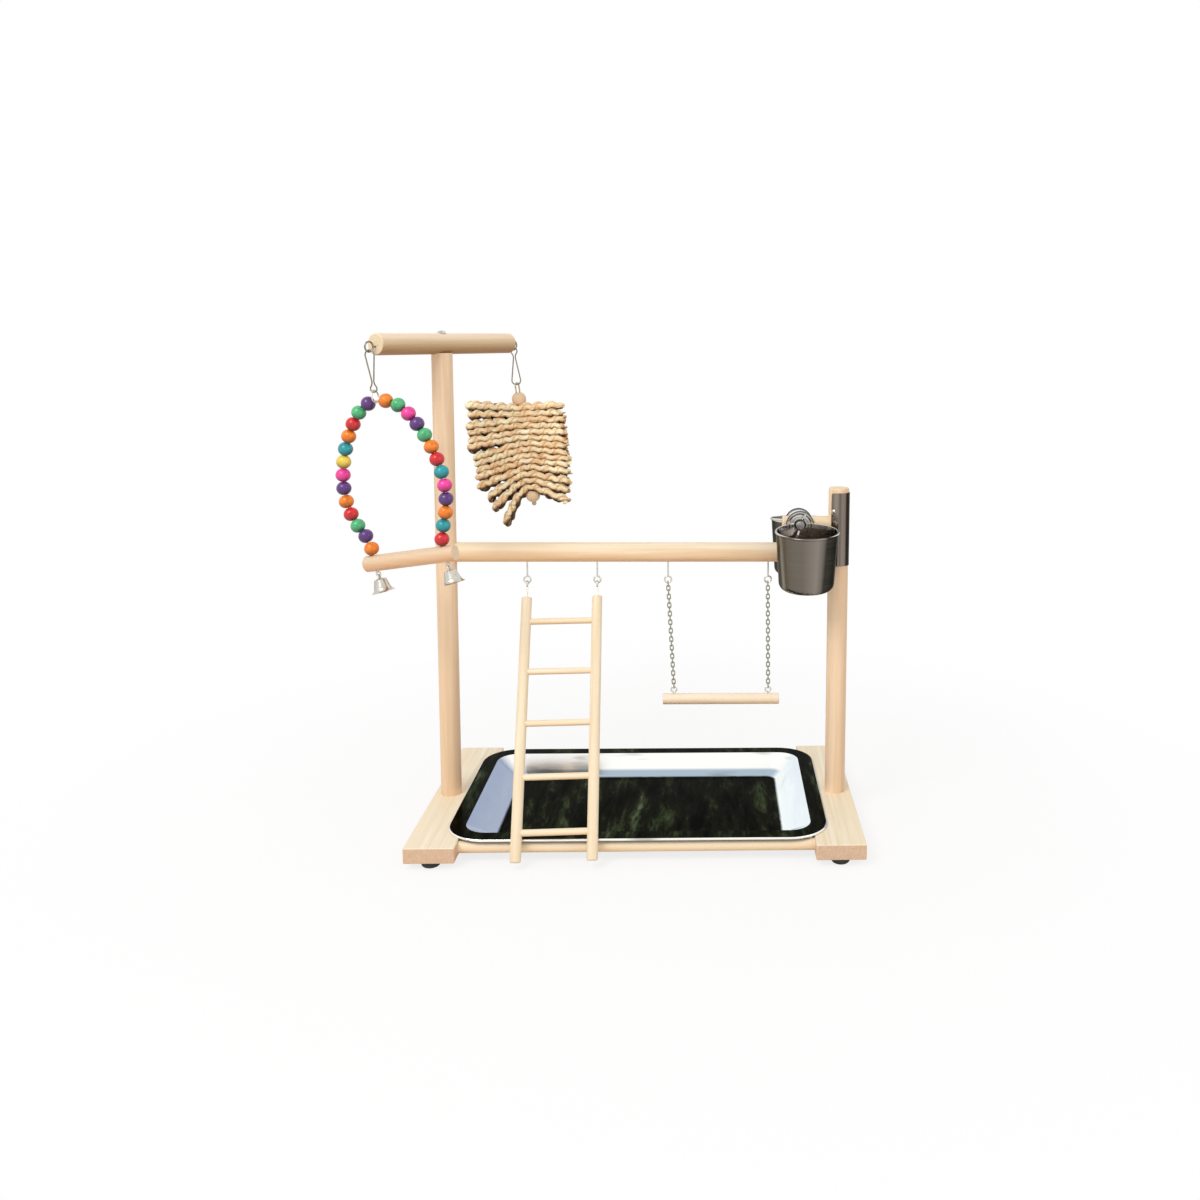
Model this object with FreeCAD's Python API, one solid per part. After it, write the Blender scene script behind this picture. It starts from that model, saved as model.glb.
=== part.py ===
"""Parrot play stand: wooden posts and perches over a lift-out steel tray, with hanging toys.

Millimetres, +Z up. Everything is drawn from the point on the table under the middle of the
base, and moved as a whole at the end, so that the origin is under the middle of the bounding
box. The stand faces -Y: the ladder leans out that way. Every sub-part is one STEP file in
parts/, named after the piece.
"""
import FreeCAD
import Part
import math
import os

Vector = FreeCAD.Vector
X_AXIS, Y_AXIS, Z_AXIS = Vector(1, 0, 0), Vector(0, 1, 0), Vector(0, 0, 1)
os.makedirs("parts", exist_ok=True)

# ---------------------------------------------------------------- clearances
seat_gap = 0.05        # glued or screwed joint, on each side
turn_gap = 0.08        # radial running clearance of a bore on its screw or bolt
loose_gap = 0.3        # between pieces that hang in, lean on or sit beside each other

# ---------------------------------------------------------------- base
base_width = 456.0     # over the outer faces of the two side planks
plank_past_tray = 12.5  # a plank's end beyond the tray's rim, front and back
plank_width = 50.0
plank_thick = 16.0
plank_chamfer = 0.8
foot_d = 19.0
foot_height = 6.5
foot_dome = 3.0        # height of the rounded lower part of a foot
foot_sole_r = 5.7      # flat middle of its sole
foot_bulge = 0.6       # roundness of the rounded part
foot_inset = 11.0      # from a plank's end to the foot's centre
rail_d = 12.0          # the two dowels that join the planks
rail_gap = 1.9         # from the tray's basin to a dowel
rail_socket = 12.0     # how deep the dowels sit in the planks

# ---------------------------------------------------------------- tray
tray_depth = 255.0     # front to back, over the rim
tray_rim = 17.2        # flat rim around the basin
tray_gap = 1.0         # from the basin to a plank's inner edge
tray_corner = 23.0     # basin corner radius at the top
tray_drop = 19.0       # basin depth under the rim
tray_run = 28.0        # how far the sloping wall leans in
tray_fillet = 12.0     # between wall and floor
sheet = 0.8            # stainless sheet
tray_bead = 1.3        # radius of the rolled edge

# ---------------------------------------------------------------- posts and perches
post_d = 22.0
post_inset = 17.5      # from a plank's outer face to the post's axis
tall_post = 480.0      # its length above the planks
perch_d = 21.0
perch_height = 267.5   # perch axis above the planks
arm_d = 16.0           # short dowel that carries the cups
arm_gap = 13.0         # between the main perch and the arm above it
post_above_arm = 31.0  # top of the short post over the arm
arm_past_bolt = 18.3   # from the cup bolt to the arm's free end
dowel_round = 1.5      # rounding of a dowel's free end

t_bar_d = 22.0
t_bar_front = 90.0     # from the swivel screw to the front end
t_bar_back = 104.0     # and to the back end
t_bar_turn = 58.0      # degrees from +X, seen from above
t_bar_flat = 1.5       # depth of the flat that seats on the tall post
t_bar_flat_length = 24.0

# ---------------------------------------------------------------- screws
wood_screw_r = 2.0
wood_screw_head_r = 4.0
wood_screw_head = 2.6
post_screw_length = 42.0
perch_screw_length = 44.0
swivel_screw_r = 2.1
swivel_screw_grip = 36.0    # length in the post
swivel_head_r = 4.4
swivel_head = 2.6

# ---------------------------------------------------------------- screw eyes
eye_wire_r = 0.9
eye_r = 3.6            # centre line radius of the ring
eye_neck = 19.5        # from the wood to the ring's centre
eye_grip = 12.0        # length in the wood
end_eye_r = 5.0        # the eyes in the T-bar's ends
end_eye_neck = 8.0
end_eye_low = 2.4      # how far under the bar's axis they sit
bar_eye_r = 2.9        # the eyes on the play swing's bar
bar_eye_neck = 4.6

# ---------------------------------------------------------------- wire clips
clip_wire_r = 0.7
clip_lengths = {"front": 41.5, "back": 41.4}   # over the centre line of the wire
clip_big_r = 4.9
clip_small_r = 3.5
clip_waist = 1.1       # half the gap at the waist
clip_waist_r = 8.0
front_clip_lean = 6.0  # degrees: how far the front clip hangs off plumb, to the right
back_clip_lean = 3.8

# ---------------------------------------------------------------- bead swing
swing_turn = -15.6     # degrees about Z: its right end comes forward
swing_lean = 9.7       # degrees: it hangs swayed to the right
ring_r = 6.2           # ring between the clip and the arch
arch_wire_r = 0.8
arch_height = 150.6    # from the arch's top wire down to the top of the lower perch
left_bends = ((30.0, 48.0), (120.0, 38.0), (69.0, 38.0), (43.0, -34.0))   # radius, degrees
right_bends = ((39.0, 54.0), (138.0, 28.0), (92.0, 34.0), (41.0, -26.0))
bead_d = 14.6
bead_length = 12.9
bead_end_r = 2.6       # flat ring around the bore
bead_bore_r = 1.75
bead_gap = 0.12
left_beads = ("orange", "purple", "green", "red", "orange", "purple", "pink", "yellow",
              "teal", "orange", "red", "green", "purple")                # from the perch up
right_beads = ("red", "teal", "orange", "purple", "pink", "teal", "red", "orange",
               "green", "purple", "pink", "green", "orange")
swing_perch_d = 16.4
swing_perch_over = (9.8, 12.3)   # beyond the arch's left and right foot
swing_perch_round = 2.5

# ---------------------------------------------------------------- bells
bell_loop_r = 2.2      # end loop of the arch wire, under the perch, bent to the right
crown_r = 1.9          # loop on the bell
crown_wire_r = 0.7
bell_top_r = 6.0
bell_mouth_r = 12.2
bell_height = 14.2
bell_wall = 0.8
bell_waist = (0.32, 0.62)   # where it starts to flare: share of the flare and of the height
bell_shoulder = 1.5    # height of the domed top
bell_flare = (0.9, 0.3)     # how far the flare is hollowed, inwards and down
bell_lean = 16.0       # degrees that the bells hang off plumb with the swing
clapper_r = 2.4
clapper_wire_r = 0.5
clapper_length = 9.5   # from its pivot to the ball's centre
clapper_hook_r = 1.5

# ---------------------------------------------------------------- vine toy
toy_lean = 7.4         # degrees: it hangs swayed to the right
toy_ball_d = 16.0
toy_ball_drop = 18.3   # from the clip's lobe to the top ball's centre, under the lobe's wire
toy_wire_r = 0.8
toy_wire_bend = 2.4
toy_wire_turn = 45.0
toy_cord_r = 1.2
toy_knot_r = 2.6
toy_plug = 3.0         # depth of the plug that holds the wire and the cord in the top ball
rope_d = 6.2
rope_spacing = 5.2     # half the distance between the two runs of a folded rope
rope_left = (55, 54, 57, 56, 57, 59, 54, 54, 53, 55, 55, 49, 48, 46)
rope_right = (49, 48, 50, 49, 49, 50, 47, 49, 50, 48, 46, 48, 45, 44)
rope_left_slope = (-3, 1, 7, 8, 11, 11, 17, 18, 19, 19, 23, 36, 45, 66)
rope_right_slope = (-5, -3, -1, 0, 1, 3, 4, 6, 6, 6, 7, 11, 17, 23)
rope_knee = 15.0       # where a steep rope bends down, from the cord
knee_slope = 30.0      # a rope that hangs more steeply than this has a knee
rope_knee_share = 0.55 # slope inside the knee, as a share of the slope outside
rope_reach = 45.0      # out to here the runs clear each other
rope_bend_r = 7.0
rope_group_size = 4    # ropes in each of these, from the top down
rope_groups = ("vine_ropes_top", "vine_ropes_upper", "vine_ropes_lower", "vine_ropes_bottom")

# ---------------------------------------------------------------- ladder
ladder_x = -87.0
ladder_skew = 1.3      # degrees: it hangs a little askew, its feet to the right
ladder_rail_d = 11.0
ladder_below_rim = 21.0     # how far the rails go on past the tray's rim
ladder_rail_spacing = 75.0
ladder_top_gap = 16.0  # from the hinge axis to the rails' top ends
ladder_rungs = 5
ladder_rung_d = 6.6
ladder_first_rung = 26.5
ladder_last_rung = 27.8
rung_socket = 5.0
ladder_round = 1.0
hook_r = 3.3           # centre line radius of the ladder's hooks
hook_wire_r = 0.9
hook_mouth = 3.0       # height of the hook's opening

# ---------------------------------------------------------------- play swing
play_eye_x = (26.6, 134.6)
play_bar_x = (32.9, 135.8)     # where the chains meet the bar
play_bar_d = 12.0
play_bar_length = 127.0
play_bar_drop = 152.3  # from the perch's underside to the bar's axis, about
link_wire_r = 0.6
link_inside = 4.9      # inner length of a chain link, which is also its pitch
link_width = 4.6
play_bar_round = 1.0
bar_eye_grip = 7.2

# ---------------------------------------------------------------- cups
bolt_x = 168.0
bolt_r = 2.5
cup_offset = 5.0       # the cups' centres lie right of the bolt
cup_r = 32.6           # outside, at the rim
cup_taper = 3.5        # degrees
cup_height = 62.5
cup_tilt = 5.0         # degrees outwards
cup_bead_r = 1.3
cup_corner = 8.0       # rounding between wall and floor
cup_rim_above_bolt = 1.5    # the rim's rear edge over the bolt's axis
ear_thick = 1.2
ear_width = 21.0
ear_above_bolt = 12.0
ear_below_bolt = 16.0
notch_r = 7.0          # cut in the cup's rim round the nut
washer_r = 15.0
washer_dish = 2.4
washer_sheet = 1.0
nut_hub_r = 5.0
nut_hub = 6.5
nut_span = 27.0        # over the two wings
nut_wing = 1.8
nut_wing_low = 1.6     # heights of a wing's lower edge at the hub and half-way out
nut_wing_bend = 5.2
nut_wing_top = 11.5
nut_turn = 20.0        # degrees: how the wings stand
bolt_head_r = 5.2
bolt_head = 3.0
bolt_past_nut = 2.0

# ---------------------------------------------------------------- post guard
guard_length = 79.0
guard_below_top = 5.0
guard_sheet = 0.8
guard_angle = -47.0    # direction of its middle, degrees from +X
guard_span = 180.0
guard_corner = 3.0
guard_screw_r = 1.1
guard_screw_head_r = 2.5
guard_screw_head = 1.3
guard_screw_length = 8.0
guard_screw_height = 59.0   # above the guard's lower edge
guard_screw_inset = 14.0    # degrees in from each long edge

# ---------------------------------------------------------------- places worked out from these
base_depth = tray_depth + 2 * plank_past_tray
plank_top = foot_height + plank_thick
plank_inner = base_width / 2 - plank_width
basin_x = plank_inner - tray_gap - sheet
basin_y = tray_depth / 2 - tray_rim
tray_top = plank_top + 2 * tray_bead
rail_y = basin_y + sheet + rail_gap + rail_d / 2
rail_z = foot_height + plank_thick / 2
post_x = base_width / 2 - post_inset
perch_z = plank_top + perch_height
arm_z = perch_z + perch_d / 2 + arm_gap + arm_d / 2
short_post_top = arm_z + arm_d / 2 + post_above_arm
t_bar_z = plank_top + tall_post + t_bar_d / 2 - t_bar_flat + seat_gap
eye_z = perch_z - perch_d / 2 - eye_neck
t_bar_way = Vector(math.cos(math.radians(t_bar_turn)), math.sin(math.radians(t_bar_turn)), 0)
t_bar_mid = Vector(-post_x, 0, t_bar_z)


# ---------------------------------------------------------------- helpers
pieces = {}


def save(shape, node):
    """Keeps a checked shape under its node's name, to be written at the end."""
    if not shape.isValid():
        raise RuntimeError(node + " is not a valid shape")
    pieces[node] = shape
    print("%-24s %2d solids %10.1f mm3" % (node, len(shape.Solids), shape.Volume))


def group(shapes):
    """Separate solids that share a node."""
    return Part.makeCompound([solid for shape in shapes for solid in shape.Solids])


def rod(start, end, radius):
    """A round bar between two points."""
    run = end - start
    return Part.makeCylinder(radius, run.Length, start, run)


def frame(origin, x_way, z_way):
    """The placement whose Z runs along z_way, with X as near to x_way as it can be."""
    z = Vector(z_way).normalize()
    x = Vector(x_way) - z * z.dot(x_way)
    x.normalize()
    y = z.cross(x)
    return FreeCAD.Placement(FreeCAD.Matrix(
        x.x, y.x, z.x, origin.x,
        x.y, y.y, z.y, origin.y,
        x.z, y.z, z.z, origin.z,
        0, 0, 0, 1))


def placed(shape, placement):
    """A copy of the shape, moved from its own frame into the placement's."""
    copy = shape.copy()
    copy.Placement = placement.multiply(copy.Placement)
    return copy


def revolve(points, arcs=()):
    """A solid turned about Z from (radius, z) points. arcs maps a segment to its middle point."""
    flat = [Vector(r, 0, z) for r, z in points]
    edges = []
    for index, start in enumerate(flat):
        end = flat[(index + 1) % len(flat)]
        if index in arcs:
            r, z = arcs[index]
            edges.append(Part.Arc(start, Vector(r, 0, z), end).toShape())
        else:
            edges.append(Part.LineSegment(start, end).toShape())
    return Part.Face(Part.Wire(edges)).revolve(Vector(), Z_AXIS, 360)


def cap_middle(radius, rise):
    """Half-way point of a domed top's outline, as (radius, depth under the top)."""
    sphere = (radius ** 2 + rise ** 2) / (2 * rise)
    half_angle = math.asin(radius / sphere) / 2
    return sphere * math.sin(half_angle), sphere * (1 - math.cos(half_angle))


def fused(first, *others):
    """One solid from pieces that overlap."""
    return first.fuse(list(others)).removeSplitter()


def sweep(edges, radius):
    """A round wire or rope along joined, tangent edges."""
    path = Part.Wire(edges)
    first = path.OrderedEdges[0]
    start = first.valueAt(first.FirstParameter)
    way = first.tangentAt(first.FirstParameter)
    profile = Part.Wire([Part.Circle(start, way, radius).toShape()])
    return path.makePipeShell([profile], True, False)


def rounded_path(points, radius):
    """Straight runs through the points, with tangent arcs of the radius at the corners."""
    edges, start = [], points[0]
    for before, corner, after in zip(points, points[1:], points[2:]):
        back, on = (before - corner).normalize(), (after - corner).normalize()
        turn = math.pi - back.getAngle(on)
        reach = radius * math.tan(turn / 2)
        inwards = (back + on).normalize()
        middle = corner + inwards * (radius / math.cos(turn / 2) - radius)
        entry, leave = corner + back * reach, corner + on * reach
        edges += [Part.LineSegment(start, entry).toShape(),
                  Part.Arc(entry, middle, leave).toShape()]
        start = leave
    return edges + [Part.LineSegment(start, points[-1]).toShape()]


def dowel(start, end, diameter, round_start=0.0, round_end=0.0):
    """A wooden dowel, with a rounded edge at an end that stays free."""
    shape = rod(start, end, diameter / 2)
    for centre, size in ((start, round_start), (end, round_end)):
        if size > 0:
            rim = [edge for edge in shape.Edges if isinstance(edge.Curve, Part.Circle)
                   and edge.Curve.Center.distanceToPoint(centre) < 0.001]
            shape = shape.makeFillet(size, rim)
    return shape


def screw(radius, length, head_r, head, dome=False):
    """A screw along -Z with its head's underside at the origin; the head stands up along +Z."""
    if dome:
        side = head * 0.35
        middle_r, depth = cap_middle(head_r, head - side)
        top = revolve([(head_r, 0), (head_r, side), (0, head), (0, 0)],
                      {1: (middle_r, head - depth)})
    else:
        top = Part.makeCone(radius, head_r, head)
    shank = Part.makeCylinder(radius, length, Vector(0, 0, -length + seat_gap))
    return fused(shank, top)


def screw_eye(ring_radius, wire_radius, neck, grip):
    """A screw eye: the ring in the XZ plane round the origin, its shank up along +Z."""
    ring = Part.makeTorus(ring_radius, wire_radius, Vector(), Y_AXIS)
    shank = rod(Vector(0, 0, ring_radius), Vector(0, 0, neck + grip), wire_radius)
    return fused(ring, shank)


def eye_hole(neck, grip):
    """What a screw eye's shank takes out of the wood."""
    return rod(Vector(0, 0, neck - 1), Vector(0, 0, neck + grip + seat_gap),
               eye_wire_r + seat_gap)


# ---------------------------------------------------------------- base
def plank(side):
    """A side plank, side -1 left or +1 right, with its sockets and screw hole."""
    low = Vector(plank_inner if side > 0 else -base_width / 2, -base_depth / 2, foot_height)
    shape = Part.makeBox(plank_width, base_depth, plank_thick, low)
    shape = shape.makeChamfer(plank_chamfer, shape.Edges)
    for end in (-1, 1):
        mouth = Vector(side * (plank_inner - 1), end * rail_y, rail_z)
        shape = shape.cut(rod(mouth, mouth + Vector(side * (rail_socket + 1 + seat_gap), 0, 0),
                              rail_d / 2 + seat_gap))
    return shape.cut(placed(post_screw_hole, post_screw_place(side)))


def post_screw_place(side):
    """The screw under a post: its head is flush with the plank's underside, its tip up."""
    return frame(Vector(side * post_x, 0, foot_height + wood_screw_head), X_AXIS, -Z_AXIS)


rail_reach = plank_inner + rail_socket
post_screw_hole = screw(wood_screw_r + seat_gap, post_screw_length + seat_gap,
                        wood_screw_head_r + seat_gap, wood_screw_head + seat_gap)
for name, side in (("left", -1), ("right", 1)):
    save(plank(side), "base_plank_" + name)
for name, y in (("front", -rail_y), ("back", rail_y)):
    save(rod(Vector(-rail_reach, y, rail_z), Vector(rail_reach, y, rail_z), rail_d / 2),
         "base_dowel_" + name)

foot = revolve([(0, 0), (foot_sole_r, 0), (foot_d / 2, foot_dome), (foot_d / 2, foot_height),
                (0, foot_height)], {1: ((foot_sole_r + foot_d / 2) / 2 + foot_bulge,
                                        foot_dome / 2 - foot_bulge)})
save(group([foot.translated(Vector(sx * (base_width / 2 - plank_width / 2),
                                   sy * (base_depth / 2 - foot_inset), 0))
            for sx in (-1, 1) for sy in (-1, 1)]), "rubber_feet")
post_screw = screw(wood_screw_r, post_screw_length, wood_screw_head_r, wood_screw_head)
save(group([placed(post_screw, post_screw_place(side)) for side in (-1, 1)]), "post_screws")


# ---------------------------------------------------------------- tray
def rounded_rectangle(half_x, half_y, corner, z):
    """A closed wire of four sides and four quarter circles, at height z."""
    x, y = half_x - corner, half_y - corner
    edges = []
    for quarter, (cx, cy) in enumerate(((x, y), (-x, y), (-x, -y), (x, -y))):
        arc = Part.Circle(Vector(cx, cy, z), Z_AXIS, corner)
        start = quarter * math.pi / 2
        edges.append(Part.ArcOfCircle(arc, start, start + math.pi / 2).toShape())
    wires = []
    for index, edge in enumerate(edges):
        following = edges[(index + 1) % 4]
        wires += [edge, Part.LineSegment(edge.Vertexes[-1].Point,
                                         following.Vertexes[0].Point).toShape()]
    return Part.Wire(wires)


def basin(grow, low, fillet):
    """The tray's hollow as a solid: sloping walls, grown outwards by grow, floor at low."""
    top = rounded_rectangle(basin_x + grow, basin_y + grow, tray_corner + grow, tray_top)
    floor_corner = max(tray_corner - tray_run * 0.4, 2) + grow
    floor = rounded_rectangle(basin_x - tray_run + grow, basin_y - tray_run + grow,
                              floor_corner, low)
    solid = Part.makeLoft([floor, top], True, True)
    rim = [edge for edge in solid.Edges
           if all(abs(vertex.Z - low) < 0.01 for vertex in edge.Vertexes)]
    return solid.makeFillet(fillet, rim)


def tray():
    """Stainless tray: rolled edge, flat rim that rests on the planks, and a sloping basin."""
    edge_x, edge_y = basin_x + tray_rim - tray_bead, basin_y + tray_rim - tray_bead
    edge_corner = tray_corner + tray_rim - tray_bead
    rim_wire = rounded_rectangle(edge_x, edge_y, edge_corner, tray_top - sheet)
    rim = Part.Face(rim_wire).extrude(Vector(0, 0, sheet))
    bead_path = rounded_rectangle(edge_x, edge_y, edge_corner, plank_top + tray_bead)
    start = bead_path.OrderedEdges[0]
    profile = Part.Wire([Part.Circle(start.valueAt(start.FirstParameter),
                                     start.tangentAt(start.FirstParameter), tray_bead).toShape()])
    bead = bead_path.makePipeShell([profile], True, False)
    outside = basin(sheet, tray_top - tray_drop - sheet, tray_fillet + sheet)
    inside = basin(0, tray_top - tray_drop, tray_fillet)
    return rim.fuse([bead, outside]).cut(inside).removeSplitter()


save(tray(), "tray")

# ---------------------------------------------------------------- posts, perch and cup arm
guard_low = short_post_top - guard_below_top - guard_length
guard_r = post_d / 2 + seat_gap
guard_screw_angles = [guard_angle + side * (guard_span / 2 - guard_screw_inset)
                      for side in (-1, 1)]


def side_screw_place(side, z):
    """A screw that goes through a post from its outer side, along X, its head sunk flush."""
    depth = post_x + post_d / 2 - wood_screw_head - 0.4
    return frame(Vector(side * depth, 0, z), Z_AXIS, Vector(side, 0, 0))


def guard_screw_place(angle):
    """A small screw that holds the guard: radial, head on the sheet."""
    out = Vector(math.cos(math.radians(angle)), math.sin(math.radians(angle)), 0)
    origin = Vector(post_x, 0, guard_low + guard_screw_height) + out * (guard_r + guard_sheet)
    return frame(origin, Z_AXIS, out)


side_screw = screw(wood_screw_r, perch_screw_length, wood_screw_head_r, wood_screw_head)
side_hole = fused(screw(wood_screw_r + seat_gap, perch_screw_length + seat_gap,
                        wood_screw_head_r + seat_gap, wood_screw_head),
                  Part.makeCylinder(wood_screw_head_r + seat_gap, post_d / 2,
                                    Vector(0, 0, wood_screw_head)))
guard_screw = screw(guard_screw_r, guard_screw_length, guard_screw_head_r, guard_screw_head, True)
guard_hole = Part.makeCylinder(guard_screw_r + seat_gap, guard_screw_length + 1,
                               Vector(0, 0, -guard_screw_length - seat_gap))

swivel_top = t_bar_z + t_bar_d / 2 + loose_gap
swivel_screw = screw(swivel_screw_r, swivel_top - plank_top - tall_post + swivel_screw_grip,
                     swivel_head_r, swivel_head, True)
swivel_screw = swivel_screw.translated(Vector(-post_x, 0, swivel_top))
pilot = Part.makeCylinder(swivel_screw_r + seat_gap, swivel_screw_grip + 1 + seat_gap,
                          Vector(-post_x, 0, plank_top + tall_post - swivel_screw_grip - seat_gap))

post_left = dowel(Vector(-post_x, 0, plank_top), Vector(-post_x, 0, plank_top + tall_post), post_d)
post_left = post_left.cut([placed(post_screw_hole, post_screw_place(-1)),
                           placed(side_hole, side_screw_place(-1, perch_z)), pilot])
save(post_left, "post_left")

post_right = dowel(Vector(post_x, 0, plank_top), Vector(post_x, 0, short_post_top), post_d,
                   0, dowel_round)
post_right = post_right.cut([placed(post_screw_hole, post_screw_place(1)),
                             placed(side_hole, side_screw_place(1, perch_z)),
                             placed(side_hole, side_screw_place(1, arm_z))]
                            + [placed(guard_hole, guard_screw_place(angle))
                               for angle in guard_screw_angles])
save(post_right, "post_right")

guard_pocket = Part.makeCylinder(guard_r + guard_sheet + seat_gap, guard_length + 2 * seat_gap,
                                 Vector(post_x, 0, guard_low - seat_gap), Z_AXIS, guard_span + 1)
guard_pocket.rotate(Vector(post_x, 0, 0), Z_AXIS, guard_angle - guard_span / 2 - 0.5)
coping = [Part.makeCylinder(post_d / 2 + seat_gap, 2 * post_d + perch_d,
                            Vector(side * post_x, 0, perch_z - post_d - perch_d / 2))
          for side in (-1, 1)]
ladder_eye_reach = ladder_rail_spacing / 2 * math.cos(math.radians(ladder_skew))
hanger_x = [ladder_x - ladder_eye_reach, ladder_x + ladder_eye_reach]
hanger_x += list(play_eye_x)
hanger_places = [FreeCAD.Placement(Vector(x, 0, eye_z), FreeCAD.Rotation())
                 for x in hanger_x]
perch = rod(Vector(-post_x, 0, perch_z), Vector(post_x, 0, perch_z), perch_d / 2)
perch = perch.cut(coping + [guard_pocket] + [placed(side_hole, side_screw_place(side, perch_z))
                            for side in (-1, 1)]
                  + [placed(eye_hole(eye_neck, eye_grip), place) for place in hanger_places])
save(perch, "main_perch")
save(group([placed(side_screw, side_screw_place(side, perch_z)) for side in (-1, 1)]),
     "perch_screws")

hanger = screw_eye(eye_r, eye_wire_r, eye_neck, eye_grip)
save(group([placed(hanger, place) for place in hanger_places[:2]]), "ladder_eyes")
save(group([placed(hanger, place) for place in hanger_places[2:]]), "swing_eyes")

arm_end = bolt_x - arm_past_bolt
arm = dowel(Vector(arm_end, 0, arm_z), Vector(post_x, 0, arm_z), arm_d, dowel_round)
arm_coping = Part.makeCylinder(post_d / 2 + seat_gap, 4 * arm_d,
                               Vector(post_x, 0, arm_z - 2 * arm_d))
bolt_hole = Part.makeCylinder(bolt_r + seat_gap, 2 * arm_d, Vector(bolt_x, -arm_d, arm_z), Y_AXIS)
arm = arm.cut([arm_coping, guard_pocket, bolt_hole, placed(side_hole, side_screw_place(1, arm_z))])
save(arm, "cup_arm")
save(placed(side_screw, side_screw_place(1, arm_z)), "cup_arm_screw")


# ---------------------------------------------------------------- post guard
def post_guard():
    """Half-round sheet against the right post, with rounded corners."""
    low = Vector(post_x, 0, guard_low)
    outer = Part.makeCylinder(guard_r + guard_sheet, guard_length, low, Z_AXIS, guard_span)
    inner = Part.makeCylinder(guard_r, guard_length, low)
    shape = outer.cut(inner)
    shape.rotate(low, Z_AXIS, guard_angle - guard_span / 2)
    inwards = FreeCAD.Rotation(Z_AXIS, guard_angle).multVec(X_AXIS)
    corners = []
    for side in (-1, 1):
        out = FreeCAD.Rotation(Z_AXIS, side * guard_span / 2).multVec(inwards)
        for end, z_in in ((guard_low, 1), (guard_low + guard_length, -1)):
            corner = Vector(post_x, 0, end) + out * (guard_r - 1)
            block = Part.makeBox(guard_corner, guard_corner, guard_sheet + 2)
            round_off = Part.makeCylinder(guard_corner, guard_sheet + 2,
                                          Vector(guard_corner, guard_corner, 0))
            block = block.cut(round_off)
            if (inwards.cross(Z_AXIS * z_in)).dot(out) > 0:
                corners.append(placed(block, frame(corner, inwards, out)))
            else:
                corners.append(placed(block, frame(corner, Z_AXIS * z_in, out)))
    return shape.cut(corners + [placed(guard_hole, guard_screw_place(angle))
                                for angle in guard_screw_angles])


save(post_guard(), "post_guard")
save(group([placed(guard_screw, guard_screw_place(angle)) for angle in guard_screw_angles]),
     "guard_screws")

# ---------------------------------------------------------------- T-bar
t_bar_ends = {"front": (-1, t_bar_front), "back": (1, t_bar_back)}
t_bar = dowel(t_bar_mid - t_bar_way * t_bar_front, t_bar_mid + t_bar_way * t_bar_back, t_bar_d,
              dowel_round, dowel_round)
flat = Part.makeBox(t_bar_flat_length, t_bar_d, t_bar_d,
                    Vector(-t_bar_flat_length / 2, -t_bar_d / 2, -t_bar_d * 1.5 + t_bar_flat))
bore = Part.makeCylinder(swivel_screw_r + turn_gap, 2 * t_bar_d, Vector(0, 0, -t_bar_d))
t_bar_frame = frame(t_bar_mid, t_bar_way, Z_AXIS)
t_bar = t_bar.cut([placed(flat, t_bar_frame), placed(bore, t_bar_frame)])
eye_centres, end_eyes = {}, {}
for name, (side, reach) in t_bar_ends.items():
    out = t_bar_way * side
    eye_centres[name] = t_bar_mid + out * (reach + end_eye_neck) - Z_AXIS * end_eye_low
    place = frame(eye_centres[name], Z_AXIS, -out)
    t_bar = t_bar.cut(placed(eye_hole(end_eye_neck, eye_grip), place))
    end_eyes[name] = placed(screw_eye(end_eye_r, eye_wire_r, end_eye_neck, eye_grip), place)
save(t_bar, "t_bar")
save(swivel_screw, "t_bar_screw")
for name, shape in end_eyes.items():
    save(shape, "t_bar_eye_" + name)


# ---------------------------------------------------------------- wire clips
def clip(overall):
    """A gourd-shaped wire clip in the XZ plane: big lobe's centre at the origin, small one below.

    Each side is the big arc, a straight, a short outward arc at the waist and the small arc, and
    all of them are tangent.
    """
    length = overall - clip_big_r - clip_small_r
    rise = math.sqrt((clip_small_r - clip_waist)
                     * (clip_small_r + 2 * clip_waist_r + clip_waist))
    waist = Vector(clip_waist + clip_waist_r, 0, rise - length)
    small = Vector(0, 0, -length)
    meet = small + (waist - small) * (clip_small_r / (clip_small_r + clip_waist_r))
    line = -waist
    lean = math.acos((clip_big_r + clip_waist_r) / line.Length)
    base = math.atan2(line.z, line.x)
    way = Vector(math.cos(base + lean), 0, math.sin(base + lean))
    on_waist = waist + way * clip_waist_r
    on_big = way * -clip_big_r
    if on_big.x < 0:
        way = Vector(math.cos(base - lean), 0, math.sin(base - lean))
        on_waist = waist + way * clip_waist_r
        on_big = way * -clip_big_r
    nearest = waist + ((meet + on_waist) * 0.5 - waist).normalize() * clip_waist_r
    edges = []
    for side in (1, -1):
        mirror = [Vector(side * p.x, 0, p.z) for p in (on_big, on_waist, nearest, meet)]
        run = [Part.LineSegment(mirror[0], mirror[1]).toShape(),
               Part.Arc(mirror[1], mirror[2], mirror[3]).toShape()]
        edges += run if side > 0 else [Part.LineSegment(mirror[1], mirror[0]).toShape(),
                                       Part.Arc(mirror[3], mirror[2], mirror[1]).toShape()][::-1]
        if side > 0:
            edges.append(Part.Arc(meet, small - Vector(0, 0, clip_small_r),
                                  Vector(-meet.x, 0, meet.z)).toShape())
    edges.append(Part.Arc(Vector(-on_big.x, 0, on_big.z), Vector(0, 0, clip_big_r),
                          on_big).toShape())
    return sweep(edges, clip_wire_r), length


inside_eye = end_eye_r - eye_wire_r - clip_wire_r - loose_gap   # from an eye's centre to the clip

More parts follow.
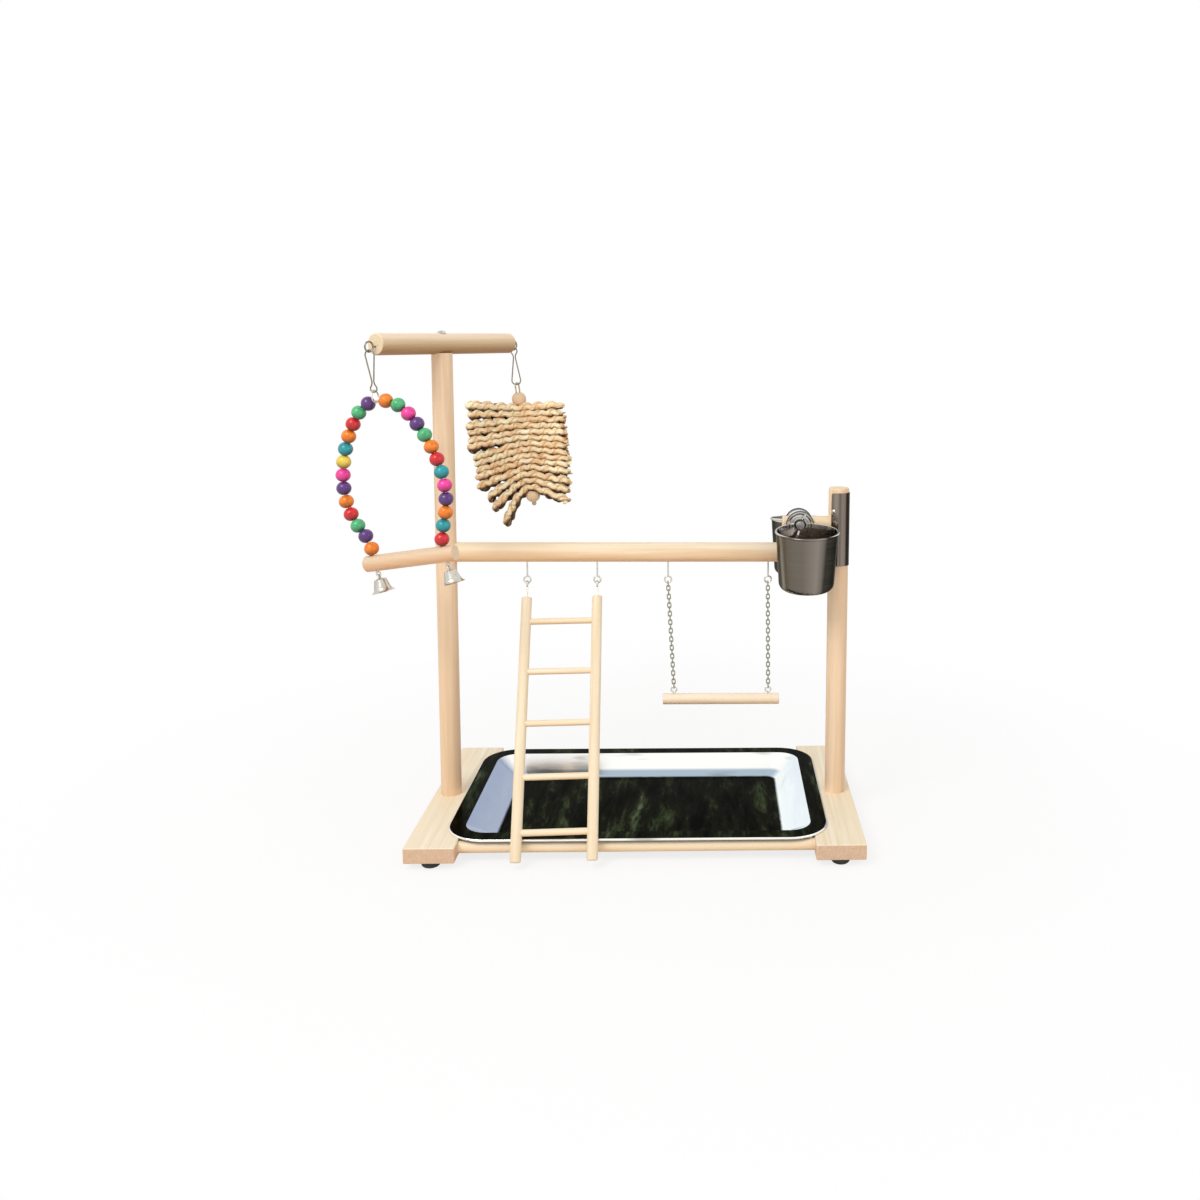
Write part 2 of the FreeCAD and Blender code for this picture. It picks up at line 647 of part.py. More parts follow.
# front clip: big lobe up, in the front eye
front_x_way = FreeCAD.Rotation(Z_AXIS, swing_turn).multVec(X_AXIS)
front_up = (Z_AXIS - front_x_way * math.tan(math.radians(front_clip_lean))).normalize()
clip_shape, lobe_distance = clip(clip_lengths["front"])
front_lobe = eye_centres["front"] - Z_AXIS * inside_eye - front_up * clip_big_r
save(placed(clip_shape, frame(front_lobe, front_x_way, front_up)), "clip_front")
front_small = front_lobe - front_up * lobe_distance

# back clip: small lobe up, in the back eye
back_up = (Z_AXIS - X_AXIS * math.tan(math.radians(back_clip_lean))).normalize()
clip_shape, lobe_distance = clip(clip_lengths["back"])
back_small = eye_centres["back"] - Z_AXIS * inside_eye - back_up * clip_small_r
back_lobe = back_small - back_up * lobe_distance
save(placed(clip_shape, frame(back_lobe, -X_AXIS, -back_up)), "clip_back")


# ---------------------------------------------------------------- bead swing
def bend_points(bends):
    """The bends of one half of the arch wire, from the level apex down, bowed towards +X.

    bends lists each bend's radius and angle. Each bend comes back as its distance along the
    wire, radius, heading, angle, centre, start, middle and end, then the foot and the length.
    """
    x, z, heading, run = 0.0, 0.0, 0.0, 0.0
    arcs = []
    for radius, degrees in bends:
        turn = math.radians(degrees)
        bow = math.copysign(radius, turn)
        cx, cz = x - bow * math.sin(-heading), z - bow * math.cos(-heading)
        start = (x, z)
        heading_mid, heading_end = heading - turn / 2, heading - turn
        mid = (cx + bow * math.sin(-heading_mid), cz + bow * math.cos(-heading_mid))
        x, z = cx + bow * math.sin(-heading_end), cz + bow * math.cos(-heading_end)
        arcs.append((run, radius, heading, turn, (cx, cz), start, mid, (x, z)))
        heading = heading_end
        run += abs(radius * turn)
    return arcs, (x, z), run


def arch_side(bends, side, colours):
    """Wire edges, bead stations and foot of one side of the arch, in the swing's own frame."""
    arcs, (foot_x, foot_z), run = bend_points(bends)
    straight = foot_z + arch_height
    edges = [Part.Arc(*[Vector(side * px, 0, pz) for px, pz in arc[-3:]]).toShape()
             for arc in arcs]
    edges.append(Part.LineSegment(Vector(side * foot_x, 0, foot_z),
                                  Vector(side * foot_x, 0, wire_end)).toShape())

    def at(distance):
        """Point and downward heading at a distance from the apex."""
        if distance >= run:
            return Vector(side * foot_x, 0, foot_z - (distance - run)), -math.pi / 2
        begin, radius, heading, turn, (cx, cz) = [arc for arc in arcs
                                                  if arc[0] <= max(distance, 0)][-1][:5]
        heading -= math.copysign((distance - begin) / radius, turn)
        bow = math.copysign(radius, turn)
        return Vector(side * (cx + bow * math.sin(-heading)), 0,
                      cz + bow * math.cos(-heading)), heading

    beads = []
    station = run + straight - loose_gap - bead_length / 2
    for colour in colours:
        point, heading = at(station)
        beads.append((colour, point, Vector(side * math.cos(heading), 0, math.sin(heading))))
        turn = abs(at(station - bead_length)[1] - heading)
        station -= bead_length + bead_gap + bead_end_r * turn
    print("arch side", side, "free wire at the apex", round(station + bead_length / 2, 1))
    return edges, beads, foot_x


swing_rotation = FreeCAD.Rotation(Z_AXIS, swing_turn).multiply(
    FreeCAD.Rotation(Y_AXIS, -swing_lean))
ring_centre_drop = clip_small_r - clip_wire_r - arch_wire_r - loose_gap + ring_r
swing_down = swing_rotation.multVec(-Z_AXIS)
ring_centre = front_small + swing_down * ring_centre_drop
apex = ring_centre + swing_down * (ring_r - 2 * arch_wire_r - loose_gap)
swing_frame = FreeCAD.Placement(apex, swing_rotation)
perch_axis_z = -arch_height - swing_perch_d / 2
bell_loop_z = -arch_height - swing_perch_d - loose_gap - arch_wire_r - bell_loop_r
wire_end = bell_loop_z

ring = Part.makeTorus(ring_r, arch_wire_r, Vector(), X_AXIS)
save(placed(ring, FreeCAD.Placement(ring_centre, swing_rotation)), "swing_ring")

left_edges, left_stations, left_foot = arch_side(left_bends, -1, left_beads)
right_edges, right_stations, right_foot = arch_side(right_bends, 1, right_beads)
halves = [sweep(left_edges, arch_wire_r), sweep(right_edges, arch_wire_r)]
foot_x = {"left": -left_foot, "right": right_foot}
loops = [Part.makeTorus(bell_loop_r, arch_wire_r, Vector(x + bell_loop_r, 0, bell_loop_z), Y_AXIS)
         for x in foot_x.values()]
save(placed(fused(halves[0], halves[1], *loops), swing_frame), "bead_wire")

half = bead_length / 2
bead = revolve([(bead_bore_r, -half), (bead_end_r, -half), (bead_end_r, half),
                (bead_bore_r, half)], {1: (bead_d / 2, 0)})
for colour in sorted(set(left_beads + right_beads)):
    solids = [placed(bead, swing_frame.multiply(frame(point, Y_AXIS, way)))
              for name, point, way in left_stations + right_stations if name == colour]
    save(group(solids), "beads_" + colour)

swing_perch = dowel(Vector(foot_x["left"] - swing_perch_over[0], 0, perch_axis_z),
                    Vector(foot_x["right"] + swing_perch_over[1], 0, perch_axis_z),
                    swing_perch_d, swing_perch_round, dowel_round)
for x in foot_x.values():
    swing_perch = swing_perch.cut(Part.makeCylinder(arch_wire_r + seat_gap, 2 * swing_perch_d,
                                                    Vector(x, 0, perch_axis_z - swing_perch_d)))
save(placed(swing_perch, swing_frame), "bead_swing_perch")


# ---------------------------------------------------------------- bells
def bell():
    """A flared bell with its crown loop; the origin is the centre of the loop that it hangs in."""
    crown_z = -(bell_loop_r - arch_wire_r - crown_wire_r - loose_gap) - crown_r
    top = crown_z - crown_r + crown_wire_r / 2
    mouth = top - bell_height
    waist_r = bell_top_r + (bell_mouth_r - bell_top_r) * bell_waist[0]
    waist_z = top - bell_height * bell_waist[1]
    flare_r = (waist_r + bell_mouth_r) / 2 - bell_flare[0]
    flare_z = (waist_z + mouth) / 2 - bell_flare[1]
    outer_r, outer_dip = cap_middle(bell_top_r, bell_shoulder)
    inner_r, inner_dip = cap_middle(bell_top_r - bell_wall, bell_shoulder)
    shoulder_z = top - bell_shoulder
    outline = [(0, top), (bell_top_r, shoulder_z), (waist_r, waist_z), (bell_mouth_r, mouth),
               (bell_mouth_r - bell_wall, mouth), (waist_r - bell_wall, waist_z),
               (bell_top_r - bell_wall, shoulder_z - bell_wall), (0, top - bell_wall)]
    shell = revolve(outline, {0: (outer_r, top - outer_dip), 2: (flare_r, flare_z),
                              4: (flare_r - bell_wall, flare_z),
                              6: (inner_r, top - inner_dip - bell_wall)})
    crown = Part.makeTorus(crown_r, crown_wire_r, Vector(0, 0, crown_z), X_AXIS)
    above_roof = Part.makeCylinder(bell_top_r, 4 * crown_r, Vector(0, 0, top - bell_wall))
    staple_z = top - bell_wall - clapper_hook_r + clapper_wire_r / 2
    staple = Part.makeTorus(clapper_hook_r, clapper_wire_r, Vector(0, 0, staple_z), Y_AXIS)
    under_roof = Part.makeCylinder(bell_top_r, bell_height, Vector(0, 0, top - bell_wall / 2), -Z_AXIS)
    return fused(shell, crown.common(above_roof), staple.common(under_roof)), staple_z


def clapper():
    """A ball on a wire whose small hook goes through the staple; the origin is the staple."""
    hook_z = -(clapper_hook_r - 2 * clapper_wire_r - turn_gap) - clapper_hook_r
    hook = Part.makeTorus(clapper_hook_r, clapper_wire_r, Vector(0, 0, hook_z), X_AXIS)
    wire = rod(Vector(0, 0, hook_z - clapper_hook_r), Vector(0, 0, -clapper_length), clapper_wire_r)
    return fused(Part.makeSphere(clapper_r, Vector(0, 0, -clapper_length)), wire, hook)


bell_shape, staple_z = bell()
clapper_shape = clapper()
bell_rotation = FreeCAD.Rotation(Z_AXIS, swing_turn).multiply(
    FreeCAD.Rotation(Y_AXIS, -bell_lean))
bell_places = {}
for name, x in foot_x.items():
    centre = swing_frame.multVec(Vector(x + bell_loop_r, 0, bell_loop_z))
    place = FreeCAD.Placement(centre, bell_rotation)
    bell_places[name] = place
    save(placed(bell_shape, place), "bell_" + name)
    staple_place = FreeCAD.Placement(place.multVec(Vector(0, 0, staple_z)), bell_rotation)
    save(placed(clapper_shape, staple_place), "clapper_" + name)


# ---------------------------------------------------------------- vine toy
def near_slope(slope):
    """A rope's slope beside the cord, in radians: gentler if it has a knee."""
    return math.radians(slope * (rope_knee_share if slope > knee_slope else 1.0))


def rope_side(sign, reach, slope):
    """Points of one side of a rope, from the cord out: its knee, if it has one, and its tip."""
    far = math.radians(slope)
    knee = Vector(sign * rope_knee, 0, -rope_knee * math.tan(near_slope(slope)))
    tip = knee + Vector(sign * math.cos(far), 0, -math.sin(far)) * (reach - rope_knee)
    return [knee, tip] if slope > knee_slope else [tip]


def rope(reach_left, reach_right, slope_left, slope_right):
    """A rope folded at its left end: two runs beside the cord, in its own upright frame."""
    left, right = rope_side(-1, reach_left, slope_left), rope_side(1, reach_right, slope_right)
    line = right[::-1] + [Vector()] + left
    front = [point + Vector(0, -rope_spacing, 0) for point in line]
    back = [point + Vector(0, rope_spacing, 0) for point in line[::-1]]
    out = (line[-1] - line[-2]).normalize()
    fold = Part.Arc(front[-1], line[-1] + out * rope_spacing, back[0]).toShape()
    return sweep(rounded_path(front, rope_bend_r) + [fold] + rounded_path(back, rope_bend_r),
                 rope_d / 2)


def sag(slope, reach):
    """How far a rope has come down at a distance from the cord."""
    bent = max(reach - rope_knee, 0)
    return (reach - bent) * math.tan(near_slope(slope)) + bent * math.tan(math.radians(slope))


def rope_room(above, below):
    """How far one rope hangs under the next, given both slopes on one side of the cord."""
    stations = ((0, near_slope(above)), (rope_knee, math.radians(above)),
                (rope_reach, math.radians(above)))
    return max((rope_d + loose_gap) / math.cos(slope) - sag(below, reach) + sag(above, reach)
               for reach, slope in stations)


toy_pivot = back_lobe
toy_rotation = FreeCAD.Rotation(Y_AXIS, -toy_lean)
toy_down = toy_rotation.multVec(-Z_AXIS)
toy_frame = FreeCAD.Placement(toy_pivot, toy_rotation)
loop_z = -(clip_big_r - clip_wire_r - toy_wire_r - loose_gap)     # top of the toy's wire loop
top_ball_z = loop_z - toy_ball_drop
ball_room = math.sqrt((toy_ball_d / 2 + rope_d / 2 + loose_gap) ** 2 - rope_spacing ** 2)
rope_slopes = list(zip(rope_left_slope, rope_right_slope))
rope_drops = [ball_room]
for above, below in zip(rope_slopes, rope_slopes[1:]):
    rope_drops.append(rope_drops[-1] + max(map(rope_room, above, below)))
ropes = []
for drop, left, right, slopes in zip(rope_drops, rope_left, rope_right, rope_slopes):
    ropes.append(rope(left, right, *slopes).translated(toy_frame.multVec(
        Vector(0, 0, top_ball_z - drop))))
for name, first in zip(rope_groups, range(0, len(ropes), round(rope_group_size))):
    save(group(ropes[first:first + round(rope_group_size)]), name)

steepest = max(map(near_slope, rope_slopes[-1]))
bottom_ball_z = top_ball_z - rope_drops[-1] - ball_room / math.cos(steepest)
knot_z = bottom_ball_z - toy_ball_d / 2 - toy_knot_r / 2
hairpin_z = top_ball_z + 1.0      # lower ends of the wire loop, inside the top ball
legs = [Vector(toy_wire_bend, 0, hairpin_z), Vector(toy_wire_bend, 0, loop_z - toy_wire_bend),
        Vector(0, 0, loop_z), Vector(-toy_wire_bend, 0, loop_z - toy_wire_bend),
        Vector(-toy_wire_bend, 0, hairpin_z)]
hairpin = sweep([Part.LineSegment(legs[0], legs[1]).toShape(), Part.Arc(*legs[1:4]).toShape(),
                 Part.LineSegment(legs[3], legs[4]).toShape()], toy_wire_r)
hairpin.rotate(Vector(), Z_AXIS, toy_wire_turn)
plug_r = toy_wire_bend + toy_wire_r + loose_gap
plug_z = hairpin_z - toy_plug * 2 / 3
plug = Part.makeCylinder(plug_r, toy_plug, Vector(0, 0, plug_z))
cord = rod(Vector(0, 0, hairpin_z), Vector(0, 0, knot_z), toy_cord_r)
knot = Part.makeSphere(toy_knot_r, Vector(0, 0, knot_z))
save(placed(fused(cord, plug, hairpin, knot), toy_frame), "toy_cord")
ball = Part.makeSphere(toy_ball_d / 2)
top_ball = ball.translated(Vector(0, 0, top_ball_z)).cut(
    [Part.makeCylinder(toy_cord_r + seat_gap, toy_ball_d, Vector(0, 0, top_ball_z - toy_ball_d)),
     Part.makeCylinder(plug_r + seat_gap, toy_ball_d, Vector(0, 0, plug_z - seat_gap))])
save(placed(top_ball, toy_frame), "toy_ball_top")
bottom_ball = ball.translated(Vector(0, 0, bottom_ball_z)).cut(
    [Part.makeCylinder(toy_cord_r + seat_gap, toy_ball_d * 2,
                       Vector(0, 0, bottom_ball_z - toy_ball_d)),
     Part.makeSphere(toy_knot_r + seat_gap, Vector(0, 0, knot_z))])
save(placed(bottom_ball, toy_frame), "toy_ball_bottom")

# ---------------------------------------------------------------- ladder
rim_edge = Vector(0, -(basin_y + tray_rim - tray_bead), plank_top + tray_bead)
rail_half = ladder_rail_spacing / 2
rail_top = -ladder_top_gap
hinge_z = eye_z - eye_r      # the hangers swing on the bottom of their eyes
to_rim = rim_edge - Vector(0, 0, hinge_z)
contact = ladder_rail_d / 2 + tray_bead + loose_gap
ladder_lean = math.atan2(-to_rim.y, -to_rim.z) + math.asin(contact / to_rim.Length)
rail_length = math.sqrt(to_rim.Length ** 2 - contact ** 2) - ladder_top_gap + ladder_below_rim
rung_pitch = (rail_length - ladder_first_rung - ladder_last_rung) / (ladder_rungs - 1)
print("ladder leans", round(math.degrees(ladder_lean), 2), "degrees, rails",
      round(rail_length, 1), "rung pitch", round(rung_pitch, 2))
ladder_rotation = FreeCAD.Rotation(X_AXIS, -math.degrees(ladder_lean)).multiply(
    FreeCAD.Rotation(Y_AXIS, -ladder_skew))
eye_rise = rail_half * math.sin(math.radians(ladder_skew))   # of an eye, seen along the ladder
ladder_frame = FreeCAD.Placement(Vector(ladder_x, 0, hinge_z), ladder_rotation)
hook_centre = eye_wire_r + hook_wire_r + loose_gap - hook_r


def ladder_hook(rise):
    """A screw hook in the YZ plane, bowed over the eye wire that runs along X at z rise."""
    centre = hook_centre + rise
    bow = Part.makeTorus(hook_r, hook_wire_r, Vector(0, 0, centre), X_AXIS)
    mouth = Part.makeBox(4 * hook_wire_r, 2 * hook_r, hook_mouth,
                         Vector(-2 * hook_wire_r, 0, centre - hook_mouth))
    low = centre - hook_r
    shank = rod(Vector(0, 0, low), Vector(0, 0, rail_top - eye_grip), hook_wire_r)
    return fused(bow.cut(mouth), shank)


rung_z = [rail_top - ladder_first_rung - index * rung_pitch for index in range(ladder_rungs)]
for name, x in (("left", -rail_half), ("right", rail_half)):
    inwards = -math.copysign(1, x)
    rail = dowel(Vector(x, 0, rail_top), Vector(x, 0, rail_top - rail_length), ladder_rail_d,
                 ladder_round, ladder_round)
    sockets = [rod(Vector(x + inwards * ladder_rail_d, 0, z),
                   Vector(x + inwards * (ladder_rail_d / 2 - rung_socket - seat_gap), 0, z),
                   ladder_rung_d / 2 + seat_gap) for z in rung_z]
    pilot = rod(Vector(x, 0, rail_top + 1), Vector(x, 0, rail_top - eye_grip - seat_gap),
                hook_wire_r + seat_gap)
    save(placed(rail.cut(sockets + [pilot]), ladder_frame), "ladder_rail_" + name)
rung_half = rail_half - ladder_rail_d / 2 + rung_socket
save(group([placed(rod(Vector(-rung_half, 0, z), Vector(rung_half, 0, z), ladder_rung_d / 2),
                   ladder_frame) for z in rung_z]), "ladder_rungs")
save(group([placed(ladder_hook(-side * eye_rise).translated(Vector(side * rail_half, 0, 0)),
                   ladder_frame) for side in (-1, 1)]), "ladder_hooks")


# ---------------------------------------------------------------- play swing
def link():
    """A chain link in the XZ plane: two half rings and two straights, centred on the origin."""
    bend = link_width / 2 - link_wire_r
    half_run = (link_inside + 2 * link_wire_r) / 2 - bend
    top, low = Vector(0, 0, half_run), Vector(0, 0, -half_run)
    side = Vector(bend, 0, 0)
    edges = [Part.LineSegment(low + side, top + side).toShape(),
             Part.Arc(top + side, top + Vector(0, 0, bend), top - side).toShape(),
             Part.LineSegment(top - side, low - side).toShape(),
             Part.Arc(low - side, low - Vector(0, 0, bend), low + side).toShape()]
    return sweep(edges, link_wire_r)


end_gap = eye_wire_r + loose_gap   # from the middle of an eye's wire to the end link around it
bar_z = perch_z - perch_d / 2 - play_bar_drop
bar_eye_z = bar_z + play_bar_d / 2 + bar_eye_neck
link_shape = link()
play_bar = dowel(Vector(sum(play_bar_x) / 2 - play_bar_length / 2, 0, bar_z),
                 Vector(sum(play_bar_x) / 2 + play_bar_length / 2, 0, bar_z),
                 play_bar_d, play_bar_round, play_bar_round)
bar_eyes = []
for name, top_x, bar_x in zip(("left", "right"), play_eye_x, play_bar_x):
    place = frame(Vector(bar_x, 0, bar_eye_z), X_AXIS, -Z_AXIS)
    bar_eyes.append(placed(screw_eye(bar_eye_r, eye_wire_r, bar_eye_neck, bar_eye_grip),
                           place))
    play_bar = play_bar.cut(placed(eye_hole(bar_eye_neck, bar_eye_grip), place))
    start, end = Vector(top_x, 0, hinge_z), Vector(bar_x, 0, bar_eye_z + bar_eye_r)
    way = (end - start).normalize()
    start -= way * end_gap
    end += way * end_gap
    span = (end - start).Length
    count = round((span - link_inside) / link_inside) + 1
    count += 1 - count % 2          # odd, so that both end links stand square to the eyes
    pitch = (span - link_inside) / (count - 1)
    links = []
    for index in range(count):
        centre = start + way * (link_inside / 2 + pitch * index)
        across = Y_AXIS if index % 2 == 0 else X_AXIS
        links.append(placed(link_shape, frame(centre, across, way)))
    print("chain", name, count, "links, pitch", round(pitch, 3))
    save(group(links), "swing_chain_" + name)
save(play_bar, "play_swing_bar")
save(group(bar_eyes), "play_swing_bar_eyes")

# ---------------------------------------------------------------- cups and their bolt
washer_y = arm_d / 2 + seat_gap
ear_y = washer_y + washer_dish + washer_sheet + seat_gap
rim_back_z = arm_z + cup_rim_above_bolt
bolt_axis = Vector(bolt_x, 0, arm_z)


def cup():
    """A cup in front of the arm: its ear stands upright, its body leans outwards."""
    slope = math.tan(math.radians(cup_taper))
    low_r = cup_r - cup_height * slope
    outer = Part.makeCone(low_r, cup_r, cup_height, Vector(0, 0, -cup_height))
    floor_edge = [edge for edge in outer.Edges if isinstance(edge.Curve, Part.Circle)
                  and edge.Curve.Center.z < -1]
    outer = outer.makeFillet(cup_corner, floor_edge)
    inner = Part.makeCone(low_r - sheet, cup_r - sheet, cup_height, Vector(0, 0, -cup_height))
    floor_edge = [edge for edge in inner.Edges if isinstance(edge.Curve, Part.Circle)
                  and edge.Curve.Center.z < -1]
    inner = inner.makeFillet(cup_corner - sheet, floor_edge)
    inner = inner.translated(Vector(0, 0, sheet))
    bead = Part.makeTorus(cup_r, cup_bead_r, Vector(0, 0, -cup_bead_r * 0.5))
    body = outer.fuse(bead).cut(inner)
    hinge = Vector(0, cup_r, 0)
    body.rotate(hinge, X_AXIS, cup_tilt)
    body = body.translated(Vector(bolt_x + cup_offset, -ear_y - ear_thick - cup_r, rim_back_z))
    plate = Part.makeBox(ear_width, ear_thick, ear_above_bolt + ear_below_bolt,
                         Vector(bolt_x - ear_width / 2, -ear_y - ear_thick,
                                arm_z - ear_below_bolt))
    upright = [edge for edge in plate.Edges
               if abs(edge.Length - ear_thick) < 0.001 and edge.Vertexes[0].Z > arm_z]
    plate = plate.makeFillet(ear_width / 2 - 1.5, upright)
    notch = Part.makeCylinder(notch_r, cup_r, bolt_axis + Vector(0, -ear_y - ear_thick, 0), -Y_AXIS)
    slot = Part.makeBox(2 * notch_r, cup_r, notch_r,
                        Vector(bolt_x - notch_r, -ear_y - ear_thick - cup_r, arm_z))
    hole = Part.makeCylinder(bolt_r + turn_gap, 4 * ear_thick,
                             bolt_axis + Vector(0, -ear_y + ear_thick, 0), -Y_AXIS)
    return fused(body.cut([notch, slot]), plate).cut(hole)


def dished_washer():
    """A stamped washer round Z: flat on the arm's side at z 0, dished towards +Z."""
    hole = bolt_r + seat_gap
    profile = [(hole, 0), (washer_r * 0.38, 0), (washer_r * 0.86, washer_dish),
               (washer_r, washer_dish), (washer_r, washer_dish + washer_sheet),
               (washer_r * 0.84, washer_dish + washer_sheet), (washer_r * 0.36, washer_sheet),
               (hole, washer_sheet)]
    return revolve(profile)


def wing_nut():
    """A wing nut round Z: its face on z 0, its wings spread and rise along +Z."""
    hub = Part.makeCone(nut_hub_r, nut_hub_r * 0.78, nut_hub)
    wing_profile = [Vector(nut_hub_r * 0.6, 0, nut_wing_low), Vector(nut_span * 0.36, 0, nut_wing_bend),
                    Vector(nut_span * 0.5, 0, (nut_wing_bend + nut_wing_top) / 2),
                    Vector(nut_span * 0.46, 0, nut_wing_top), Vector(nut_span * 0.34, 0, nut_wing_top),
                    Vector(nut_hub_r * 0.7, 0, nut_hub)]
    edges = [Part.LineSegment(wing_profile[0], wing_profile[1]).toShape(),
             Part.Arc(wing_profile[1], wing_profile[2], wing_profile[3]).toShape(),
             Part.LineSegment(wing_profile[3], wing_profile[4]).toShape(),
             Part.LineSegment(wing_profile[4], wing_profile[5]).toShape(),
             Part.LineSegment(wing_profile[5], wing_profile[0]).toShape()]
    wing = Part.Face(Part.Wire(edges)).extrude(Vector(0, nut_wing, 0))
    wing = wing.translated(Vector(0, -nut_wing / 2, 0))
    other = wing.copy()
    other.rotate(Vector(), Z_AXIS, 180)
    nut = fused(hub, wing, other)
    return nut.cut(Part.makeCylinder(bolt_r + turn_gap, 3 * nut_hub, Vector(0, 0, -nut_hub)))


cup_shape = cup()
save(cup_shape, "cup_front")
rear_cup = cup_shape.mirror(Vector(), Y_AXIS)
save(rear_cup, "cup_rear")
washer = dished_washer()
save(group([placed(washer, frame(bolt_axis + Vector(0, side * washer_y, 0), X_AXIS,
                                 Vector(0, side, 0))) for side in (-1, 1)]), "dished_washers")
nut_y = ear_y + ear_thick + loose_gap
nut_frame = frame(bolt_axis + Vector(0, -nut_y, 0), X_AXIS, -Y_AXIS)
nut_spin = FreeCAD.Placement(Vector(), FreeCAD.Rotation(Z_AXIS, 90 - nut_turn))
save(placed(wing_nut(), nut_frame.multiply(nut_spin)), "wing_nut")
bolt = screw(bolt_r, 2 * nut_y + nut_hub + bolt_past_nut, bolt_head_r, bolt_head, True)
save(placed(bolt, frame(bolt_axis + Vector(0, nut_y, 0), X_AXIS, Y_AXIS)), "cup_bolt")

# ---------------------------------------------------------------- write the files
outermost = [shape for node, shape in pieces.items()
             if node.startswith(("base_plank", "beads", "bead_swing_perch", "ladder_rail"))]
bounds = Part.makeCompound(outermost).optimalBoundingBox(False)
to_origin = Vector(-(bounds.XMin + bounds.XMax) / 2, -(bounds.YMin + bounds.YMax) / 2, 0)
print("the base's middle is at", round(to_origin.x, 3), round(to_origin.y, 3))
for node, shape in pieces.items():
    shape.translated(to_origin).exportStep("parts/" + node + ".step")

# ---------------------------------------------------------------- places of the joints
joint_places = {
    "t_bar_swivel": t_bar_mid, "clip_front": eye_centres["front"] - Z_AXIS * inside_eye,
    "bead_swing": front_small, "clip_back": eye_centres["back"] - Z_AXIS * inside_eye,
    "vine_toy": toy_pivot, "ladder": Vector(ladder_x, 0, hinge_z),
    "play_swing": Vector(sum(play_eye_x) / 2, 0, hinge_z), "cups": bolt_axis}
for name, place in bell_places.items():
    joint_places["bell_" + name] = place.Base
    joint_places["clapper_" + name] = place.multVec(Vector(0, 0, staple_z))
print("joints, in metres")
for name, point in joint_places.items():
    point = (point + to_origin) * 0.001
    print("  %-14s %.5f %.5f %.5f" % (name, point.x, point.y, point.z))
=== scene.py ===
# %% [markdown]
# # A parrot play stand, dressed in Blender
#
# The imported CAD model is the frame: it gives every post, perch, chain and cup its place and its
# shape. This notebook adds the camera, a plain studio, a finish for every surface, and the pieces
# that CAD only stands in for, above all the twisted husk ropes of the hanging toy. Every length
# is in metres and every new surface is worked out with numpy, whole arrays at a time.

# %% Load the frame
import math

import bpy
import numpy as np
from mathutils import Matrix, Vector


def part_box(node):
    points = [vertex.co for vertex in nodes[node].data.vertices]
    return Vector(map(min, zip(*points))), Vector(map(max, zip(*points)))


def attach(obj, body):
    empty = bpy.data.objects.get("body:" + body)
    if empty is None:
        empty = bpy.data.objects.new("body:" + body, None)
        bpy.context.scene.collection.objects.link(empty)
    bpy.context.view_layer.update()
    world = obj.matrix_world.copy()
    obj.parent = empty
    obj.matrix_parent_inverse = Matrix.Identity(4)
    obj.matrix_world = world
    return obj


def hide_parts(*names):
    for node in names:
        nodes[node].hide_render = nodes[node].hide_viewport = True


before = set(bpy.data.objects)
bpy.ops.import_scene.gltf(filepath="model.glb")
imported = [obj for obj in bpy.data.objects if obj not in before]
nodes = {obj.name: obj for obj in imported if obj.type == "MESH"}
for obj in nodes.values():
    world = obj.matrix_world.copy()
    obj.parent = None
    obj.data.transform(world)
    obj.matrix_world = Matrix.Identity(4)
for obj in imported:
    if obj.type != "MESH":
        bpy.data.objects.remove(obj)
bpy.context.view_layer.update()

# %% [markdown]
# The middle of the base is the natural point to measure from: the camera and several patterns
# are placed from it. It lies half-way between the outer faces of the two planks.

# %% Find the middle of the base
plank_left, plank_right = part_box("base_plank_left"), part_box("base_plank_right")
base_middle = Vector(((plank_left[0][0] + plank_right[1][0]) / 2,
                      (plank_left[0][1] + plank_right[1][1]) / 2, 0.0))
print("middle of the base:", tuple(round(v, 4) for v in base_middle))

# %% [markdown]
# ## The camera
#
# The photograph was taken from in front, a little to the right and from about the height of the
# T-bar. Fitting the base, posts, perch and tray gives where the lens was and which way it looked.
# The picture was cropped off the lens's centre, and a small lens shift repeats that.

# %% Place the camera
camera_place = base_middle + Vector((0.07079, -1.24548, 0.5265))
camera_yaw, camera_pitch, camera_roll = math.radians(2.006), math.radians(6.247), math.radians(0.369)
focal_share = 1169.9 / 1200          # focal length, as a share of the frame's width
shift_right, shift_up = -0.125, -0.1167
sensor_width = 36.0                  # of a full-frame camera, in millimetres

looking = Vector((math.sin(camera_yaw) * math.cos(camera_pitch),
                  math.cos(camera_yaw) * math.cos(camera_pitch), -math.sin(camera_pitch)))
level = Vector((math.cos(camera_yaw), -math.sin(camera_yaw), 0.0))
upright = level.cross(looking)
rightwards = level * math.cos(camera_roll) + upright * math.sin(camera_roll)
upwards = upright * math.cos(camera_roll) - level * math.sin(camera_roll)
lens = bpy.data.cameras.new("camera")
lens.sensor_width = sensor_width
lens.lens = sensor_width * focal_share
lens.shift_x, lens.shift_y = shift_right, shift_up
camera = bpy.data.objects.new("camera", lens)
camera.matrix_world = Matrix((
    (rightwards.x, upwards.x, -looking.x, camera_place.x),
    (rightwards.y, upwards.y, -looking.y, camera_place.y),
    (rightwards.z, upwards.z, -looking.z, camera_place.z),
    (0, 0, 0, 1)))
bpy.context.scene.collection.objects.link(camera)
bpy.context.scene.camera = camera
print("camera at", tuple(round(v, 3) for v in camera.location), "lens", round(lens.lens, 2))

